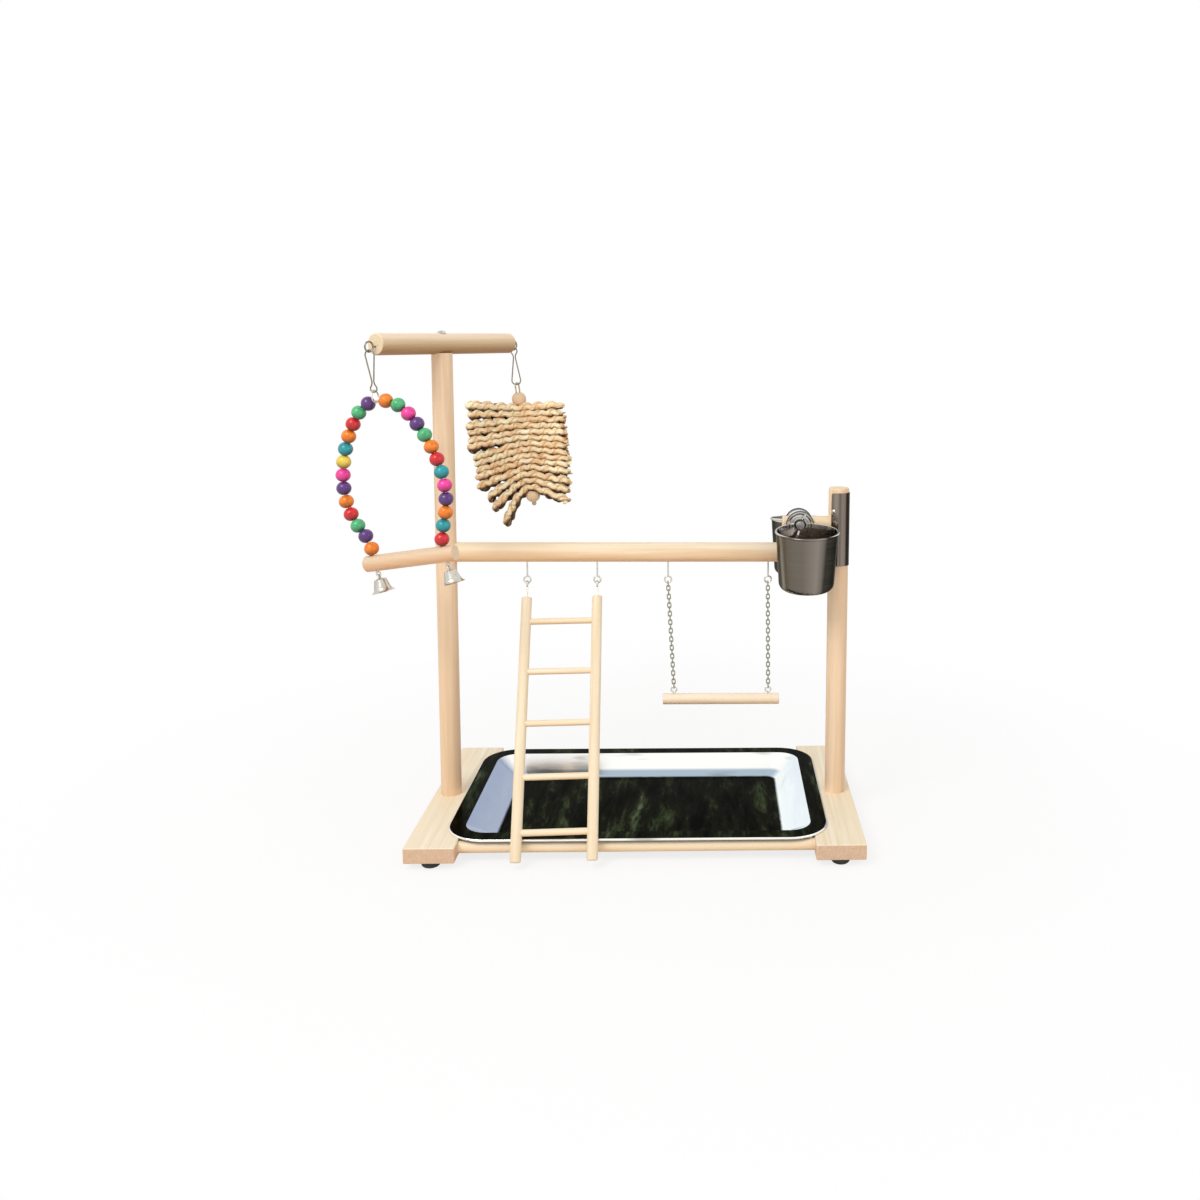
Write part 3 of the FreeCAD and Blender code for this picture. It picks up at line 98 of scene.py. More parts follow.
# %% [markdown]
# ## The studio
#
# A product picture on white needs soft light from all round and a floor that is nearly white to
# the camera but still takes a faint shadow. The world is white to the camera and to reflections,
# and a little lower as a light. One broad lamp from the upper left gives the dowels their
# light side and their shaded underside. To the camera the floor glows: least within glow_near of
# the base's middle, where the shadow is, and fully beyond glow_far, so that it has no horizon.


# %% World, lamps and floor
def link(tree, source, target):
    """Joins an output socket to an input socket."""
    tree.links.new(source, target)


def set_world(brightness):
    """White where the camera or a reflection sees it, and a lamp of the given brightness."""
    world = bpy.data.worlds.new("studio")
    bpy.context.scene.world = world
    world.use_nodes = True
    tree = world.node_tree
    tree.nodes.clear()
    out = tree.nodes.new("ShaderNodeOutputWorld")
    seen = tree.nodes.new("ShaderNodeBackground")
    seen.inputs["Color"].default_value = (1, 1, 1, 1)
    lit = tree.nodes.new("ShaderNodeBackground")
    lit.inputs["Color"].default_value = (1.0, 0.985, 0.96, 1)
    lit.inputs["Strength"].default_value = brightness
    rays = tree.nodes.new("ShaderNodeLightPath")
    either = tree.nodes.new("ShaderNodeMath")
    either.operation = "MAXIMUM"
    mix = tree.nodes.new("ShaderNodeMixShader")
    link(tree, rays.outputs["Is Camera Ray"], either.inputs[0])
    link(tree, rays.outputs["Is Glossy Ray"], either.inputs[1])
    link(tree, either.outputs[0], mix.inputs[0])
    link(tree, lit.outputs[0], mix.inputs[1])
    link(tree, seen.outputs[0], mix.inputs[2])
    link(tree, mix.outputs[0], out.inputs[0])


def add_lamp(name, place, aim, size, watts):
    """A square soft lamp at a place, turned to an aim point."""
    lamp = bpy.data.lights.new(name, "AREA")
    lamp.shape = "SQUARE"
    lamp.size = size
    lamp.energy = watts
    holder = bpy.data.objects.new(name, lamp)
    holder.location = base_middle + Vector(place)
    way = base_middle + Vector(aim) - holder.location
    holder.rotation_euler = way.to_track_quat("-Z", "Y").to_euler()
    bpy.context.scene.collection.objects.link(holder)
    return holder


set_world(brightness=0.68)
key_lamp = add_lamp("key_lamp", place=(-0.9, -1.3, 1.7), aim=(0, 0, 0.25), size=0.9, watts=20.0)
fill_lamp = add_lamp("fill_lamp", place=(1.5, -0.9, 0.9), aim=(0, 0, 0.25), size=0.9, watts=4.0)

floor_left, floor_right, floor_front, floor_back, floor_height = -3, 3, -3, 5, -0.0004
glow_near, glow_far, glow_least, glow_most = 0.30, 0.75, 0.80, 1.0
floor_mesh = bpy.data.meshes.new("floor")
floor_mesh.from_pydata([(floor_left, floor_front, floor_height), (floor_right, floor_front, floor_height),
                        (floor_right, floor_back, floor_height), (floor_left, floor_back, floor_height)],
                       [], [(0, 1, 2, 3)])
floor = bpy.data.objects.new("floor", floor_mesh)
bpy.context.scene.collection.objects.link(floor)
paper = bpy.data.materials.new("floor_paper")
paper.use_nodes = True
tree = paper.node_tree
surface = tree.nodes["Principled BSDF"]
surface.inputs["Base Color"].default_value = (0.9, 0.9, 0.9, 1)
surface.inputs["Roughness"].default_value = 0.9
glow = tree.nodes.new("ShaderNodeEmission")
rays = tree.nodes.new("ShaderNodeLightPath")
place = tree.nodes.new("ShaderNodeNewGeometry")
away = tree.nodes.new("ShaderNodeVectorMath")
away.operation = "DISTANCE"
away.inputs[1].default_value = base_middle
fade = tree.nodes.new("ShaderNodeMapRange")
for name, value in (("From Min", glow_near), ("From Max", glow_far), ("To Min", glow_least),
                    ("To Max", glow_most)):
    fade.inputs[name].default_value = value
seen_share = tree.nodes.new("ShaderNodeMath")
seen_share.operation = "MULTIPLY"
mix = tree.nodes.new("ShaderNodeMixShader")
link(tree, place.outputs["Position"], away.inputs[0])
link(tree, away.outputs["Value"], fade.inputs["Value"])
link(tree, fade.outputs["Result"], seen_share.inputs[1])
link(tree, rays.outputs["Is Camera Ray"], seen_share.inputs[0])
link(tree, seen_share.outputs[0], mix.inputs[0])
link(tree, surface.outputs[0], mix.inputs[1])
link(tree, glow.outputs[0], mix.inputs[2])
link(tree, mix.outputs[0], tree.nodes["Material Output"].inputs[0])
floor_mesh.materials.append(paper)
bpy.context.scene.view_settings.view_transform = "Standard"
print("lamps:", key_lamp.name, fill_lamp.name, "floor:", floor.name)

# %% [markdown]
# ## Finishes
#
# Every finish is a small network on Object coordinates. The class below keeps those networks
# short to write: it holds a material's tree and adds one kind of node per method.


# %% A helper that writes node networks
class Finish:
    """A material with a Principled shader, and short ways to add the nodes that feed it."""

    def __init__(self, name, roughness=0.5, metallic=0.0):
        self.material = bpy.data.materials.new(name)
        self.material.use_nodes = True
        self.tree = self.material.node_tree
        self.shader = self.tree.nodes["Principled BSDF"]
        self.shader.inputs["Roughness"].default_value = roughness
        self.shader.inputs["Metallic"].default_value = metallic
        self.object_coords = self.tree.nodes.new("ShaderNodeTexCoord").outputs["Object"]

    def node(self, kind, **settings):
        """A node of a kind, with its plain properties set."""
        made = self.tree.nodes.new("ShaderNode" + kind)
        for key, value in settings.items():
            setattr(made, key, value)
        return made

    def join(self, source, target):
        """Feeds a socket, or sets it to a number or colour."""
        if hasattr(source, "is_output"):
            self.tree.links.new(source, target)
        else:
            target.default_value = source

    def moved(self, source, turn=(0, 0, 0), scale=(1, 1, 1), offset=(0, 0, 0)):
        """Coordinates, moved by offset, turned by degrees and then stretched."""
        shift = self.node("VectorMath", operation="ADD")
        self.join(source, shift.inputs[0])
        shift.inputs[1].default_value = offset
        mapping = self.node("Mapping", vector_type="POINT")
        self.join(shift.outputs[0], mapping.inputs["Vector"])
        mapping.inputs["Rotation"].default_value = [math.radians(v) for v in turn]
        stretched = self.node("VectorMath", operation="MULTIPLY")
        self.join(mapping.outputs[0], stretched.inputs[0])
        stretched.inputs[1].default_value = scale
        return stretched.outputs[0]

    def noise(self, coords, scale, detail=4.0, rough=0.55, distortion=0.0):
        """Cloudy noise between 0 and 1."""
        made = self.node("TexNoise")
        self.join(coords, made.inputs["Vector"])
        made.inputs["Scale"].default_value = scale
        made.inputs["Detail"].default_value = detail
        made.inputs["Roughness"].default_value = rough
        made.inputs["Distortion"].default_value = distortion
        return made.outputs["Fac"]

    def ramp(self, factor, *stops):
        """A colour ramp; each stop is (position, colour)."""
        made = self.node("ValToRGB")
        self.join(factor, made.inputs["Fac"])
        points = made.color_ramp.elements
        while len(points) < len(stops):
            points.new(0.5)
        for point, (place, colour) in zip(points, stops):
            point.position = place
            point.color = tuple(colour) + (1.0,)
        return made.outputs["Color"]

    def mix(self, factor, first, second, blend="MIX"):
        """Two colours mixed by a factor."""
        made = self.node("MixRGB", blend_type=blend)
        self.join(factor, made.inputs["Fac"])
        for source, target in ((first, made.inputs["Color1"]), (second, made.inputs["Color2"])):
            self.join(source if hasattr(source, "is_output") else tuple(source) + (1.0,), target)
        return made.outputs["Color"]

    def times(self, first, second):
        """One colour multiplied by another."""
        return self.mix(1.0, first, second, "MULTIPLY")

    def math(self, operation, first, second=0.0):
        """A sum of one or two numbers."""
        made = self.node("Math", operation=operation)
        self.join(first, made.inputs[0])
        self.join(second, made.inputs[1])
        return made.outputs[0]

    def axis(self, coords, letter):
        """One coordinate as a number."""
        made = self.node("SeparateXYZ")
        self.join(coords, made.inputs[0])
        return made.outputs[letter]

    def facing(self):
        """The direction that the surface faces."""
        return self.node("NewGeometry").outputs["Normal"]

    def normal(self, letter):
        """One part of the surface's direction, from -1 to 1, as a share from 0 to 1."""
        part = self.axis(self.facing(), letter)
        return self.math("ADD", self.math("MULTIPLY", part, 0.5), 0.5)

    def faces_along(self, way):
        """How far the surface faces along a direction: their dot product."""
        made = self.node("VectorMath", operation="DOT_PRODUCT")
        self.join(self.facing(), made.inputs[0])
        self.join(way, made.inputs[1])
        return made.outputs["Value"]

    def colour(self, source):
        """Sets what the surface's colour is."""
        self.join(source, self.shader.inputs["Base Color"])

    def bump(self, height, distance, strength=1.0):
        """Raises the surface by up to distance, in metres."""
        made = self.node("Bump")
        self.join(height, made.inputs["Height"])
        made.inputs["Distance"].default_value = distance
        made.inputs["Strength"].default_value = strength
        self.join(made.outputs[0], self.shader.inputs["Normal"])


def dress(node_name, finish):
    """Gives a CAD node its finish."""
    mesh = nodes[node_name].data
    mesh.materials.clear()
    mesh.materials.append(finish.material)


def scaled(colour, shares):
    """A colour with each channel multiplied by its share."""
    return [channel * share for channel, share in zip(colour, shares)]


# %% [markdown]
# ### Wood
#
# Turned dowels show long pale fibres, slightly darker growth lines and a few warm patches. The
# pattern is noise that is stretched about thirty times along the grain, so each piece needs to
# know which way its grain runs: a turn brings that direction onto X, and the stretch follows.
# Undersides, and the right side of the right post, are darker with painted shade.


# %% Wood finishes
across_x, across_y, upright_z = Vector((1, 0, 0)), Vector((0, 1, 0)), Vector((0, 0, 1))
grain_share = 0.035                  # the noise along the grain, as a share of that across it


def wood(name, tint, axis, painted_shades, end_tint):
    """Bare wood with its grain along an axis.

    colour = tint, darker along fine long noise and warmer in broad patches, times painted shade:
    a ramp over how far the surface faces up, or to the right where the grain is upright, which
    darkens undersides and right sides; and end_tint where it is cut across the grain.
    """
    finish = Finish(name, roughness=0.48)
    line = scaled(tint, (0.87, 0.78, 0.68))
    warm = scaled(tint, (0.94, 0.86, 0.77))
    turn = [math.degrees(v) for v in axis.rotation_difference(across_x).to_euler()]
    grain = finish.moved(finish.object_coords, turn=turn, scale=(grain_share, 1.0, 1.0))
    lines = finish.noise(grain, 230.0, detail=5.0, rough=0.6)
    streaks = finish.ramp(lines, (0.36, (1, 1, 1)), (0.52, (0.55, 0.55, 0.55)), (0.70, (0, 0, 0)))
    broad = finish.noise(finish.moved(grain, scale=(1.6, 1.0, 1.0)), 26.0, detail=2.0)
    patches = finish.ramp(broad, (0.42, (0, 0, 0)), (0.66, (0.75, 0.75, 0.75)))
    body = finish.mix(patches, finish.mix(streaks, tint, line), warm)
    # Painted shade: darker where the surface faces down, or faces right on an upright piece.
    if painted_shades:
        lit = finish.normal("X" if axis == upright_z else "Z")
        body = finish.times(body, finish.ramp(lit, *painted_shades))
    cut = finish.ramp(finish.math("ABSOLUTE", finish.faces_along(axis)), (0.80, (0, 0, 0)),
                      (0.95, (0.8, 0.8, 0.8)))
    rings = finish.noise(finish.object_coords, 420.0, detail=3.0)
    end_grain = finish.ramp(rings, (0.35, scaled(end_tint, (0.88, 0.80, 0.72))), (0.65, end_tint))
    finish.colour(finish.mix(cut, body, end_grain))
    fibres = finish.noise(grain, 900.0, detail=3.0, rough=0.7)
    finish.bump(finish.math("ADD", finish.math("MULTIPLY", lines, 0.6), fibres), 0.00016, 0.55)
    return finish


bar_turn, swing_turn, ladder_lean = math.radians(58), math.radians(-15.6), math.radians(30.02)
bar_axis = Vector((math.cos(bar_turn), math.sin(bar_turn), 0))
swing_axis = Vector((math.cos(swing_turn), math.sin(swing_turn), 0))
rail_axis = Vector((0, math.sin(ladder_lean), math.cos(ladder_lean)))

# Painted shade ramps: each darkens a piece by how far it faces down, or right on the right post.
dowel_painted_shades = (0.19, (0.97, 0.72, 0.55)), (0.5, (0.985, 0.84, 0.72)), (0.78, (1, 1, 1))
bar_painted_shades = (0.16, (0.42, 0.28, 0.16)), (0.5, (0.72, 0.63, 0.49)), (0.82, (1, 1, 1))
plank_painted_shades = (0.5, (0.84, 0.65, 0.57)), (0.9, (1, 1, 1))
side_painted_shades = (0.1, (1, 1, 1)), (0.5, (0.95, 0.93, 0.90)), (0.9, (0.80, 0.77, 0.74))
thin_painted_shades = (0.19, (0.92, 0.78, 0.65)), (0.5, (1, 0.93, 0.86)), (0.78, (1, 1, 1))
cream_end, peach_end = (0.86, 0.72, 0.52), (0.70, 0.49, 0.34)
woods = (
    ("perch_wood", (0.91, 0.80, 0.61), across_x, dowel_painted_shades, cream_end, ("main_perch", "cup_arm")),
    ("bar_wood", (1.0, 0.91, 0.77), across_x, thin_painted_shades, cream_end, ("play_swing_bar",)),
    ("rung_wood", (0.98, 0.87, 0.68), across_x, thin_painted_shades, cream_end,
     ("base_dowel_front", "base_dowel_back", "ladder_rungs")),
    ("rail_wood", (0.94, 0.82, 0.62), rail_axis, None, cream_end,
     ("ladder_rail_left", "ladder_rail_right")),
    ("plank_wood", (0.96, 0.89, 0.72), across_y, plank_painted_shades, peach_end,
     ("base_plank_left", "base_plank_right")),
    ("left_post_wood", (0.90, 0.68, 0.47), upright_z, None, cream_end, ("post_left",)),
    ("right_post_wood", (1.0, 0.77, 0.55), upright_z, side_painted_shades, cream_end, ("post_right",)),
    ("ball_wood", (0.84, 0.64, 0.44), upright_z, None, cream_end, ("toy_ball_top", "toy_ball_bottom")),
    ("t_bar_wood", (0.92, 0.77, 0.59), bar_axis, bar_painted_shades, cream_end, ("t_bar",)),
    ("bead_perch_wood", (0.80, 0.65, 0.49), swing_axis, dowel_painted_shades, cream_end,
     ("bead_swing_perch",)))
for name, tint, axis, painted_shades, end_tint, dressed in woods:
    finish = wood(name, tint, axis, painted_shades, end_tint)
    for node_name in dressed:
        dress(node_name, finish)
print("wood finishes:", len(woods))

# %% [markdown]
# ### Dyed beads
#
# The beads are wood under bright dye and a glossy lacquer. The grain still shows faintly, the
# dye is a little uneven, and the lacquer gives each bead a sharp window of light.
# Their undersides are darker with painted shade.


# %% Bead finishes
def lacquered(name, tint):
    """Dyed wood under clear lacquer: the tint, uneven by soft noise, with painted shade underneath."""
    finish = Finish(name, roughness=0.36)
    dye = finish.noise(finish.object_coords, 160.0, detail=3.0)
    deep = scaled(tint, (0.72, 0.72, 0.72))
    light = [min(channel * 1.06 + 0.01, 1.0) for channel in tint]
    dyed = finish.ramp(dye, (0.32, deep), (0.5, tint), (0.7, light))
    # Painted shade: the bead darkens where its surface faces down.
    painted_underside_shade = finish.ramp(finish.normal("Z"), (0.12, (0.34, 0.30, 0.30)), (0.52, (0.92, 0.92, 0.92)),
                             (0.8, (1, 1, 1)))
    finish.colour(finish.times(dyed, painted_underside_shade))
    grain = finish.noise(finish.moved(finish.object_coords, scale=(1, 1, 0.25)), 700.0, detail=2.0)
    finish.bump(grain, 0.00005, 0.5)
    finish.shader.inputs["Specular IOR Level"].default_value = 0.3
    finish.shader.inputs["Coat Weight"].default_value = 0.45
    finish.shader.inputs["Coat Roughness"].default_value = 0.10
    return finish


bead_dyes = {
    "red": (0.68, 0.012, 0.018), "orange": (0.93, 0.23, 0.006), "yellow": (0.86, 0.62, 0.08),
    "green": (0.075, 0.47, 0.19), "teal": (0.012, 0.32, 0.35), "purple": (0.11, 0.032, 0.20),
    "pink": (0.88, 0.045, 0.33)}
for colour, tint in bead_dyes.items():
    dress("beads_" + colour, lacquered("bead_" + colour, tint))
print("bead finishes:", len(bead_dyes))

# %% [markdown]
# ### Metals
#
# Polished steel takes its look from what it reflects, so its own colour is only a grey. Small
# changes of roughness, drawn along the direction of polishing, keep it from looking like glass.


# %% Metal finishes
def metal(name, tint, roughness, smear_scale, smear):
    """Plated or polished metal: tint varied slightly and roughness varied by smeared noise."""
    finish = Finish(name, roughness=roughness, metallic=1.0)
    smears = finish.noise(finish.moved(finish.object_coords, scale=smear), smear_scale)
    finish.colour(finish.ramp(smears, (0.3, scaled(tint, (0.80, 0.80, 0.80))), (0.7, tint)))
    varied = finish.math("ADD", finish.math("MULTIPLY", smears, roughness_spread),
                         roughness - roughness_spread / 2)
    finish.join(varied, finish.shader.inputs["Roughness"])
    finish.bump(smears, 0.00002, 0.4)
    return finish


roughness_spread = 0.12
even, upright_smear = (1, 1, 1), (1, 1, 0.3)
metals = (
    ("nickel_wire", (0.76, 0.74, 0.67), 0.28, 300.0, even,
     ("ladder_eyes", "swing_eyes", "swing_ring", "bead_wire", "ladder_hooks", "play_swing_bar_eyes")),
    ("clip_wire", (0.30, 0.27, 0.21), 0.26, 300.0, even,
     ("clip_front", "clip_back", "t_bar_eye_front", "t_bar_eye_back")),
    ("chain_wire", (0.36, 0.35, 0.25), 0.30, 400.0, even, ("swing_chain_left", "swing_chain_right")),
    ("screw_zinc", (0.60, 0.59, 0.55), 0.30, 400.0, even,
     ("post_screws", "perch_screws", "cup_arm_screw", "guard_screws", "t_bar_screw")),
    ("clamp_steel", (0.66, 0.66, 0.66), 0.24, 200.0, even, ("cup_bolt", "wing_nut")),
    ("bell_metal", (0.70, 0.67, 0.60), 0.22, 240.0, upright_smear,
     ("bell_left", "bell_right", "clapper_left", "clapper_right")))
for name, tint, roughness, scale, smear, dressed in metals:
    finish = metal(name, tint, roughness, scale, smear)
    for node_name in dressed:
        dress(node_name, finish)
print("metal finishes:", len(metals))

# %% [markdown]
# ### The tray
#
# The tray is mirror steel. In the picture its flat floor and rim mirror a dark room, while the
# sloping walls mirror the white backdrop, which is what makes its shape readable. Here a white
# studio surrounds it, so these reflections are painted into the metal's own tint by how level the
# surface is: a streaked painted dark reflection on the floor and rim, and painted reflections on
# the walls: bluish left, pale right and a little darker towards their top, and white with a blue
# foot behind, where the grey smudges are the tray's own marks.


# %% Tray finish
tray_steel = Finish("tray_steel", roughness=0.12, metallic=1.0)
levelness = tray_steel.math("ABSOLUTE", tray_steel.axis(tray_steel.facing(), "Z"))
sloping = tray_steel.ramp(levelness, (0.91, (1, 1, 1)), (0.975, (0, 0, 0)))
streaks = tray_steel.noise(tray_steel.moved(tray_steel.object_coords, scale=(1.5, 0.32, 1.0)),
                           34.0, detail=6.0, rough=0.7, distortion=0.3)
# Painted reflection of a dark room on the level floor and rim: near black, streaked.
floor_painted_reflection = tray_steel.ramp(streaks, (0.40, (0.005, 0.005, 0.004)), (0.54, (0.013, 0.014, 0.009)),
                             (0.62, (0.035, 0.048, 0.020)), (0.74, (0.15, 0.16, 0.12)))
# Painted reflections on the side walls: bluish left, pale right, a little darker higher up.
left_wall_reflection, right_wall_reflection = (0.36, 0.42, 0.55), (0.95, 1.0, 1.0)
side_wall_reflection = tray_steel.ramp(tray_steel.normal("X"), (0.40, right_wall_reflection), (0.60, left_wall_reflection))
smudges = tray_steel.noise(tray_steel.moved(tray_steel.object_coords, scale=(0.35, 1.0, 2.6)),
                           26.0, detail=2.0)
# White painted reflection on the back wall, with the tray's own grey smudges.
back_reflection_and_smudges = tray_steel.ramp(smudges, (0.58, (1.0, 1.0, 0.97)), (0.66, (0.62, 0.60, 0.57)))
tray_low, tray_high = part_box("tray")
over_floor = tray_steel.math("SUBTRACT", tray_steel.axis(tray_steel.object_coords, "Z"), tray_low[2])
lift = tray_steel.math("DIVIDE", over_floor, tray_high[2] - tray_low[2])
# Painted reflection: a blue band at the foot of the back wall.
blue_foot_reflection = tray_steel.ramp(lift, (0.30, (0.42, 0.52, 0.63)), (0.40, (1, 1, 1)))
back_reflection_and_smudges = tray_steel.times(back_reflection_and_smudges, blue_foot_reflection)
behind = tray_steel.ramp(tray_steel.normal("Y"), (0.30, (1, 1, 1)), (0.42, (0, 0, 0)))
uneven = tray_steel.ramp(streaks, (0.35, (0.88, 0.91, 0.94)), (0.62, (1, 1, 1)))
higher = tray_steel.ramp(lift, (0.25, (1, 1, 1)), (0.95, (0.88, 0.91, 0.95)))
side_wall_reflection = tray_steel.times(side_wall_reflection, tray_steel.times(uneven, higher))
wall_painted_reflection = tray_steel.mix(behind, side_wall_reflection, back_reflection_and_smudges)
tray_steel.colour(tray_steel.mix(sloping, floor_painted_reflection, wall_painted_reflection))
# The level parts also get a dimmer edge tint, as part of the painted dark reflection.
edge_share = tray_steel.ramp(sloping, (0, (0.5, 0.5, 0.5)), (1, (1, 1, 1)))
tray_steel.join(edge_share, tray_steel.shader.inputs["Specular Tint"])
tray_steel.bump(streaks, 0.00004, 0.35)
dress("tray", tray_steel)
print("tray finish made")

# %% [markdown]
# ### The cups and the post guard
#
# Both are polished steel that mirrors the room as soft upright bands, here painted reflections in
# the steel's tint: brown grey in front, with one nearly black band on the right, and a plainer
# brown grey inside the cups. The bands are a ramp over the angle round the piece's axis, and thin
# rings from the spinning tool run the other way. The cups' rolled rims carry a painted highlight,
# and the ear plate above each rim shows painted reflection rings round its clamp.


# %% Banded steel
def from_bolt(finish):
    """Distance from the axis of the cup bolt, which runs along y, over the washers' radius."""
    low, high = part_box("dished_washers")
    across = finish.moved(finish.object_coords, scale=(1, 0, 1),
                          offset=(-(low[0] + high[0]) / 2, 0, -(low[2] + high[2]) / 2))
    distance = finish.node("VectorMath", operation="LENGTH")
    finish.join(across, distance.inputs[0])
    return finish.math("DIVIDE", distance.outputs["Value"], (high[2] - low[2]) / 2)


def reflection_banded_steel(name, middle, bright_above, *stops):
    """Steel with upright bands: a ramp over the angle atan2(y, x) round an upright axis.

    The share is 0 on the left, 0.25 in front and 0.5 on the right; the bands, and the plainer
    tone inside, are painted reflections. Above a height it is bright, a painted highlight, with
    painted reflection rings round the cup bolt.
    """
    finish = Finish(name, roughness=0.20, metallic=1.0)
    centred = finish.moved(finish.object_coords, offset=(-middle[0], -middle[1], 0))
    turn = finish.math("ARCTAN2", finish.axis(centred, "Y"), finish.axis(centred, "X"))
    share = finish.math("ADD", finish.math("MULTIPLY", turn, 0.5 / math.pi), 0.5)
    # Painted reflection: the room mirrored as bands round the piece.
    reflection_bands = finish.ramp(share, *stops)
    rings = finish.noise(finish.moved(centred, scale=(0.02, 0.02, 1.0)), 700.0, detail=2.0)
    body = finish.mix(finish.math("MULTIPLY", rings, 0.18), reflection_bands, (0.30, 0.28, 0.26))
    outwards = finish.faces_along(finish.moved(centred, scale=(1, 1, 0)))
    inside = finish.math("LESS_THAN", outwards, -0.005)
    # Painted reflection: a plainer brown grey inside the cup.
    body = finish.mix(inside, body, (0.42, 0.37, 0.33))
    rim = finish.math("GREATER_THAN", finish.axis(finish.object_coords, "Z"), bright_above)
    # Painted highlight on the rim and painted reflection rings on the ear plate.
    finish.colour(finish.mix(rim, body, finish.ramp(from_bolt(finish), *rim_and_plate_reflections)))
    finish.join((0.45, 0.45, 0.45, 1.0), finish.shader.inputs["Specular Tint"])
    finish.bump(rings, 0.00002, 0.3)
    return finish


# Painted reflections: rings on the rims and ear plates, bands on the cups and the guard.
rim_and_plate_reflections = ((0.20, (0.20, 0.21, 0.18)), (0.33, (0.30, 0.31, 0.27)), (0.36, (0.05, 0.05, 0.045)),
               (0.42, (0.06, 0.06, 0.05)), (0.445, (0.92, 0.91, 0.89)), (0.55, (0.88, 0.86, 0.83)),
               (0.585, (0.36, 0.34, 0.32)), (0.62, (0.86, 0.85, 0.77)), (0.73, (0.86, 0.85, 0.76)),
               (0.76, (0.10, 0.10, 0.08)), (0.80, (0.10, 0.10, 0.08)), (0.84, (0.82, 0.81, 0.78)))
cup_reflection_bands = ((0.0, (0.035, 0.035, 0.02)), (0.05, (0.085, 0.08, 0.055)), (0.088, (0.12, 0.11, 0.08)),
             (0.105, (0.36, 0.33, 0.28)), (0.125, (0.13, 0.11, 0.085)), (0.22, (0.15, 0.13, 0.105)),
             (0.285, (0.27, 0.235, 0.20)), (0.31, (0.17, 0.15, 0.13)), (0.328, (0.022, 0.022, 0.013)),
             (0.41, (0.008, 0.008, 0.004)), (0.46, (0.045, 0.045, 0.03)), (0.60, (0.10, 0.09, 0.075)),
             (0.80, (0.16, 0.14, 0.12)), (1.0, (0.035, 0.035, 0.02)))
guard_reflection_bands = ((0.0, (0.12, 0.10, 0.09)), (0.15, (0.24, 0.19, 0.15)), (0.19, (0.33, 0.28, 0.23)),
               (0.222, (0.30, 0.25, 0.21)), (0.254, (0.15, 0.12, 0.10)), (0.285, (0.29, 0.24, 0.20)),
               (0.335, (0.25, 0.19, 0.16)), (0.356, (0.012, 0.008, 0.005)),
               (0.402, (0.012, 0.008, 0.005)), (0.425, (0.13, 0.115, 0.09)),
               (0.47, (0.05, 0.045, 0.035)), (1.0, (0.12, 0.10, 0.09)))
rim_height, far_share = 0.0016, 0.6


def cup_rim(name):
    """The middle of a cup's rim and the rim's height, read on the side away from the clamp.

    The height is the highest point past far_share of the cup's reach, and the rim is what lies
    within rim_height of it.
    """
    mesh = nodes[name].data
    verts = np.empty(3 * len(mesh.vertices))
    mesh.vertices.foreach_get("co", verts)
    verts = verts.reshape(-1, 3)
    outer = np.sign(verts[:, 1].mean() - base_middle.y)
    reach = verts[:, 1] * outer
    height = verts[reach > reach.min() + far_share * (reach.max() - reach.min()), 2].max()
    rim = verts[np.abs(verts[:, 2] - height) < rim_height]
    radius = (rim[:, 0].max() - rim[:, 0].min()) / 2
    return (rim[:, 0].min() + radius, ((rim[:, 1] * outer).max() - radius) * outer), height


cups = ("cup_front", "cup_rear")
for name in cups:
    cup_middle, rim_top = cup_rim(name)
    dress(name, reflection_banded_steel(name + "_steel", cup_middle, rim_top - rim_height, *cup_reflection_bands))
post_low, post_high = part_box("post_right")
post_middle = ((post_low[0] + post_high[0]) / 2, (post_low[1] + post_high[1]) / 2)
dress("post_guard", reflection_banded_steel("guard_steel", post_middle, post_high[2], *guard_reflection_bands))
print("banded finishes:", cups, "post_guard")

# %% [markdown]
# The dished washers are bright with dark rings, painted reflections that are a ramp over the distance
# from the bolt.

# %% Washer finish
washer_steel = Finish("washer_steel", roughness=0.22, metallic=1.0)
# Painted reflection rings of the dished washers.
washer_reflection_rings = ((0.30, (0.85, 0.84, 0.82)), (0.36, (0.10, 0.10, 0.09)), (0.43, (0.80, 0.79, 0.77)),
                (0.62, (0.55, 0.54, 0.52)), (0.68, (0.06, 0.06, 0.055)), (0.75, (0.82, 0.81, 0.79)),
                (0.90, (0.60, 0.59, 0.57)), (0.97, (0.05, 0.05, 0.045)))
washer_steel.colour(washer_steel.ramp(from_bolt(washer_steel), *washer_reflection_rings))
scratches = washer_steel.noise(washer_steel.object_coords, 900.0, detail=2.0)
washer_steel.bump(scratches, 0.00002, 0.4)
dress("dished_washers", washer_steel)
print("washer finish made")

# %% [markdown]
# ### Rubber and cord
#
# The feet are matt black rubber with a fine pebbled skin. The toy's centre cord is a thin laid
# cord, which shows mostly between the clip and the first ball.

# %% Rubber and cord finishes
foot_rubber = Finish("foot_rubber", roughness=0.62)
pebbles = foot_rubber.noise(foot_rubber.object_coords, 900.0, detail=2.0)
foot_rubber.colour(foot_rubber.ramp(pebbles, (0.3, (0.006, 0.006, 0.006)), (0.7, (0.02, 0.02, 0.02))))
foot_rubber.bump(pebbles, 0.0001, 0.5)
dress("rubber_feet", foot_rubber)

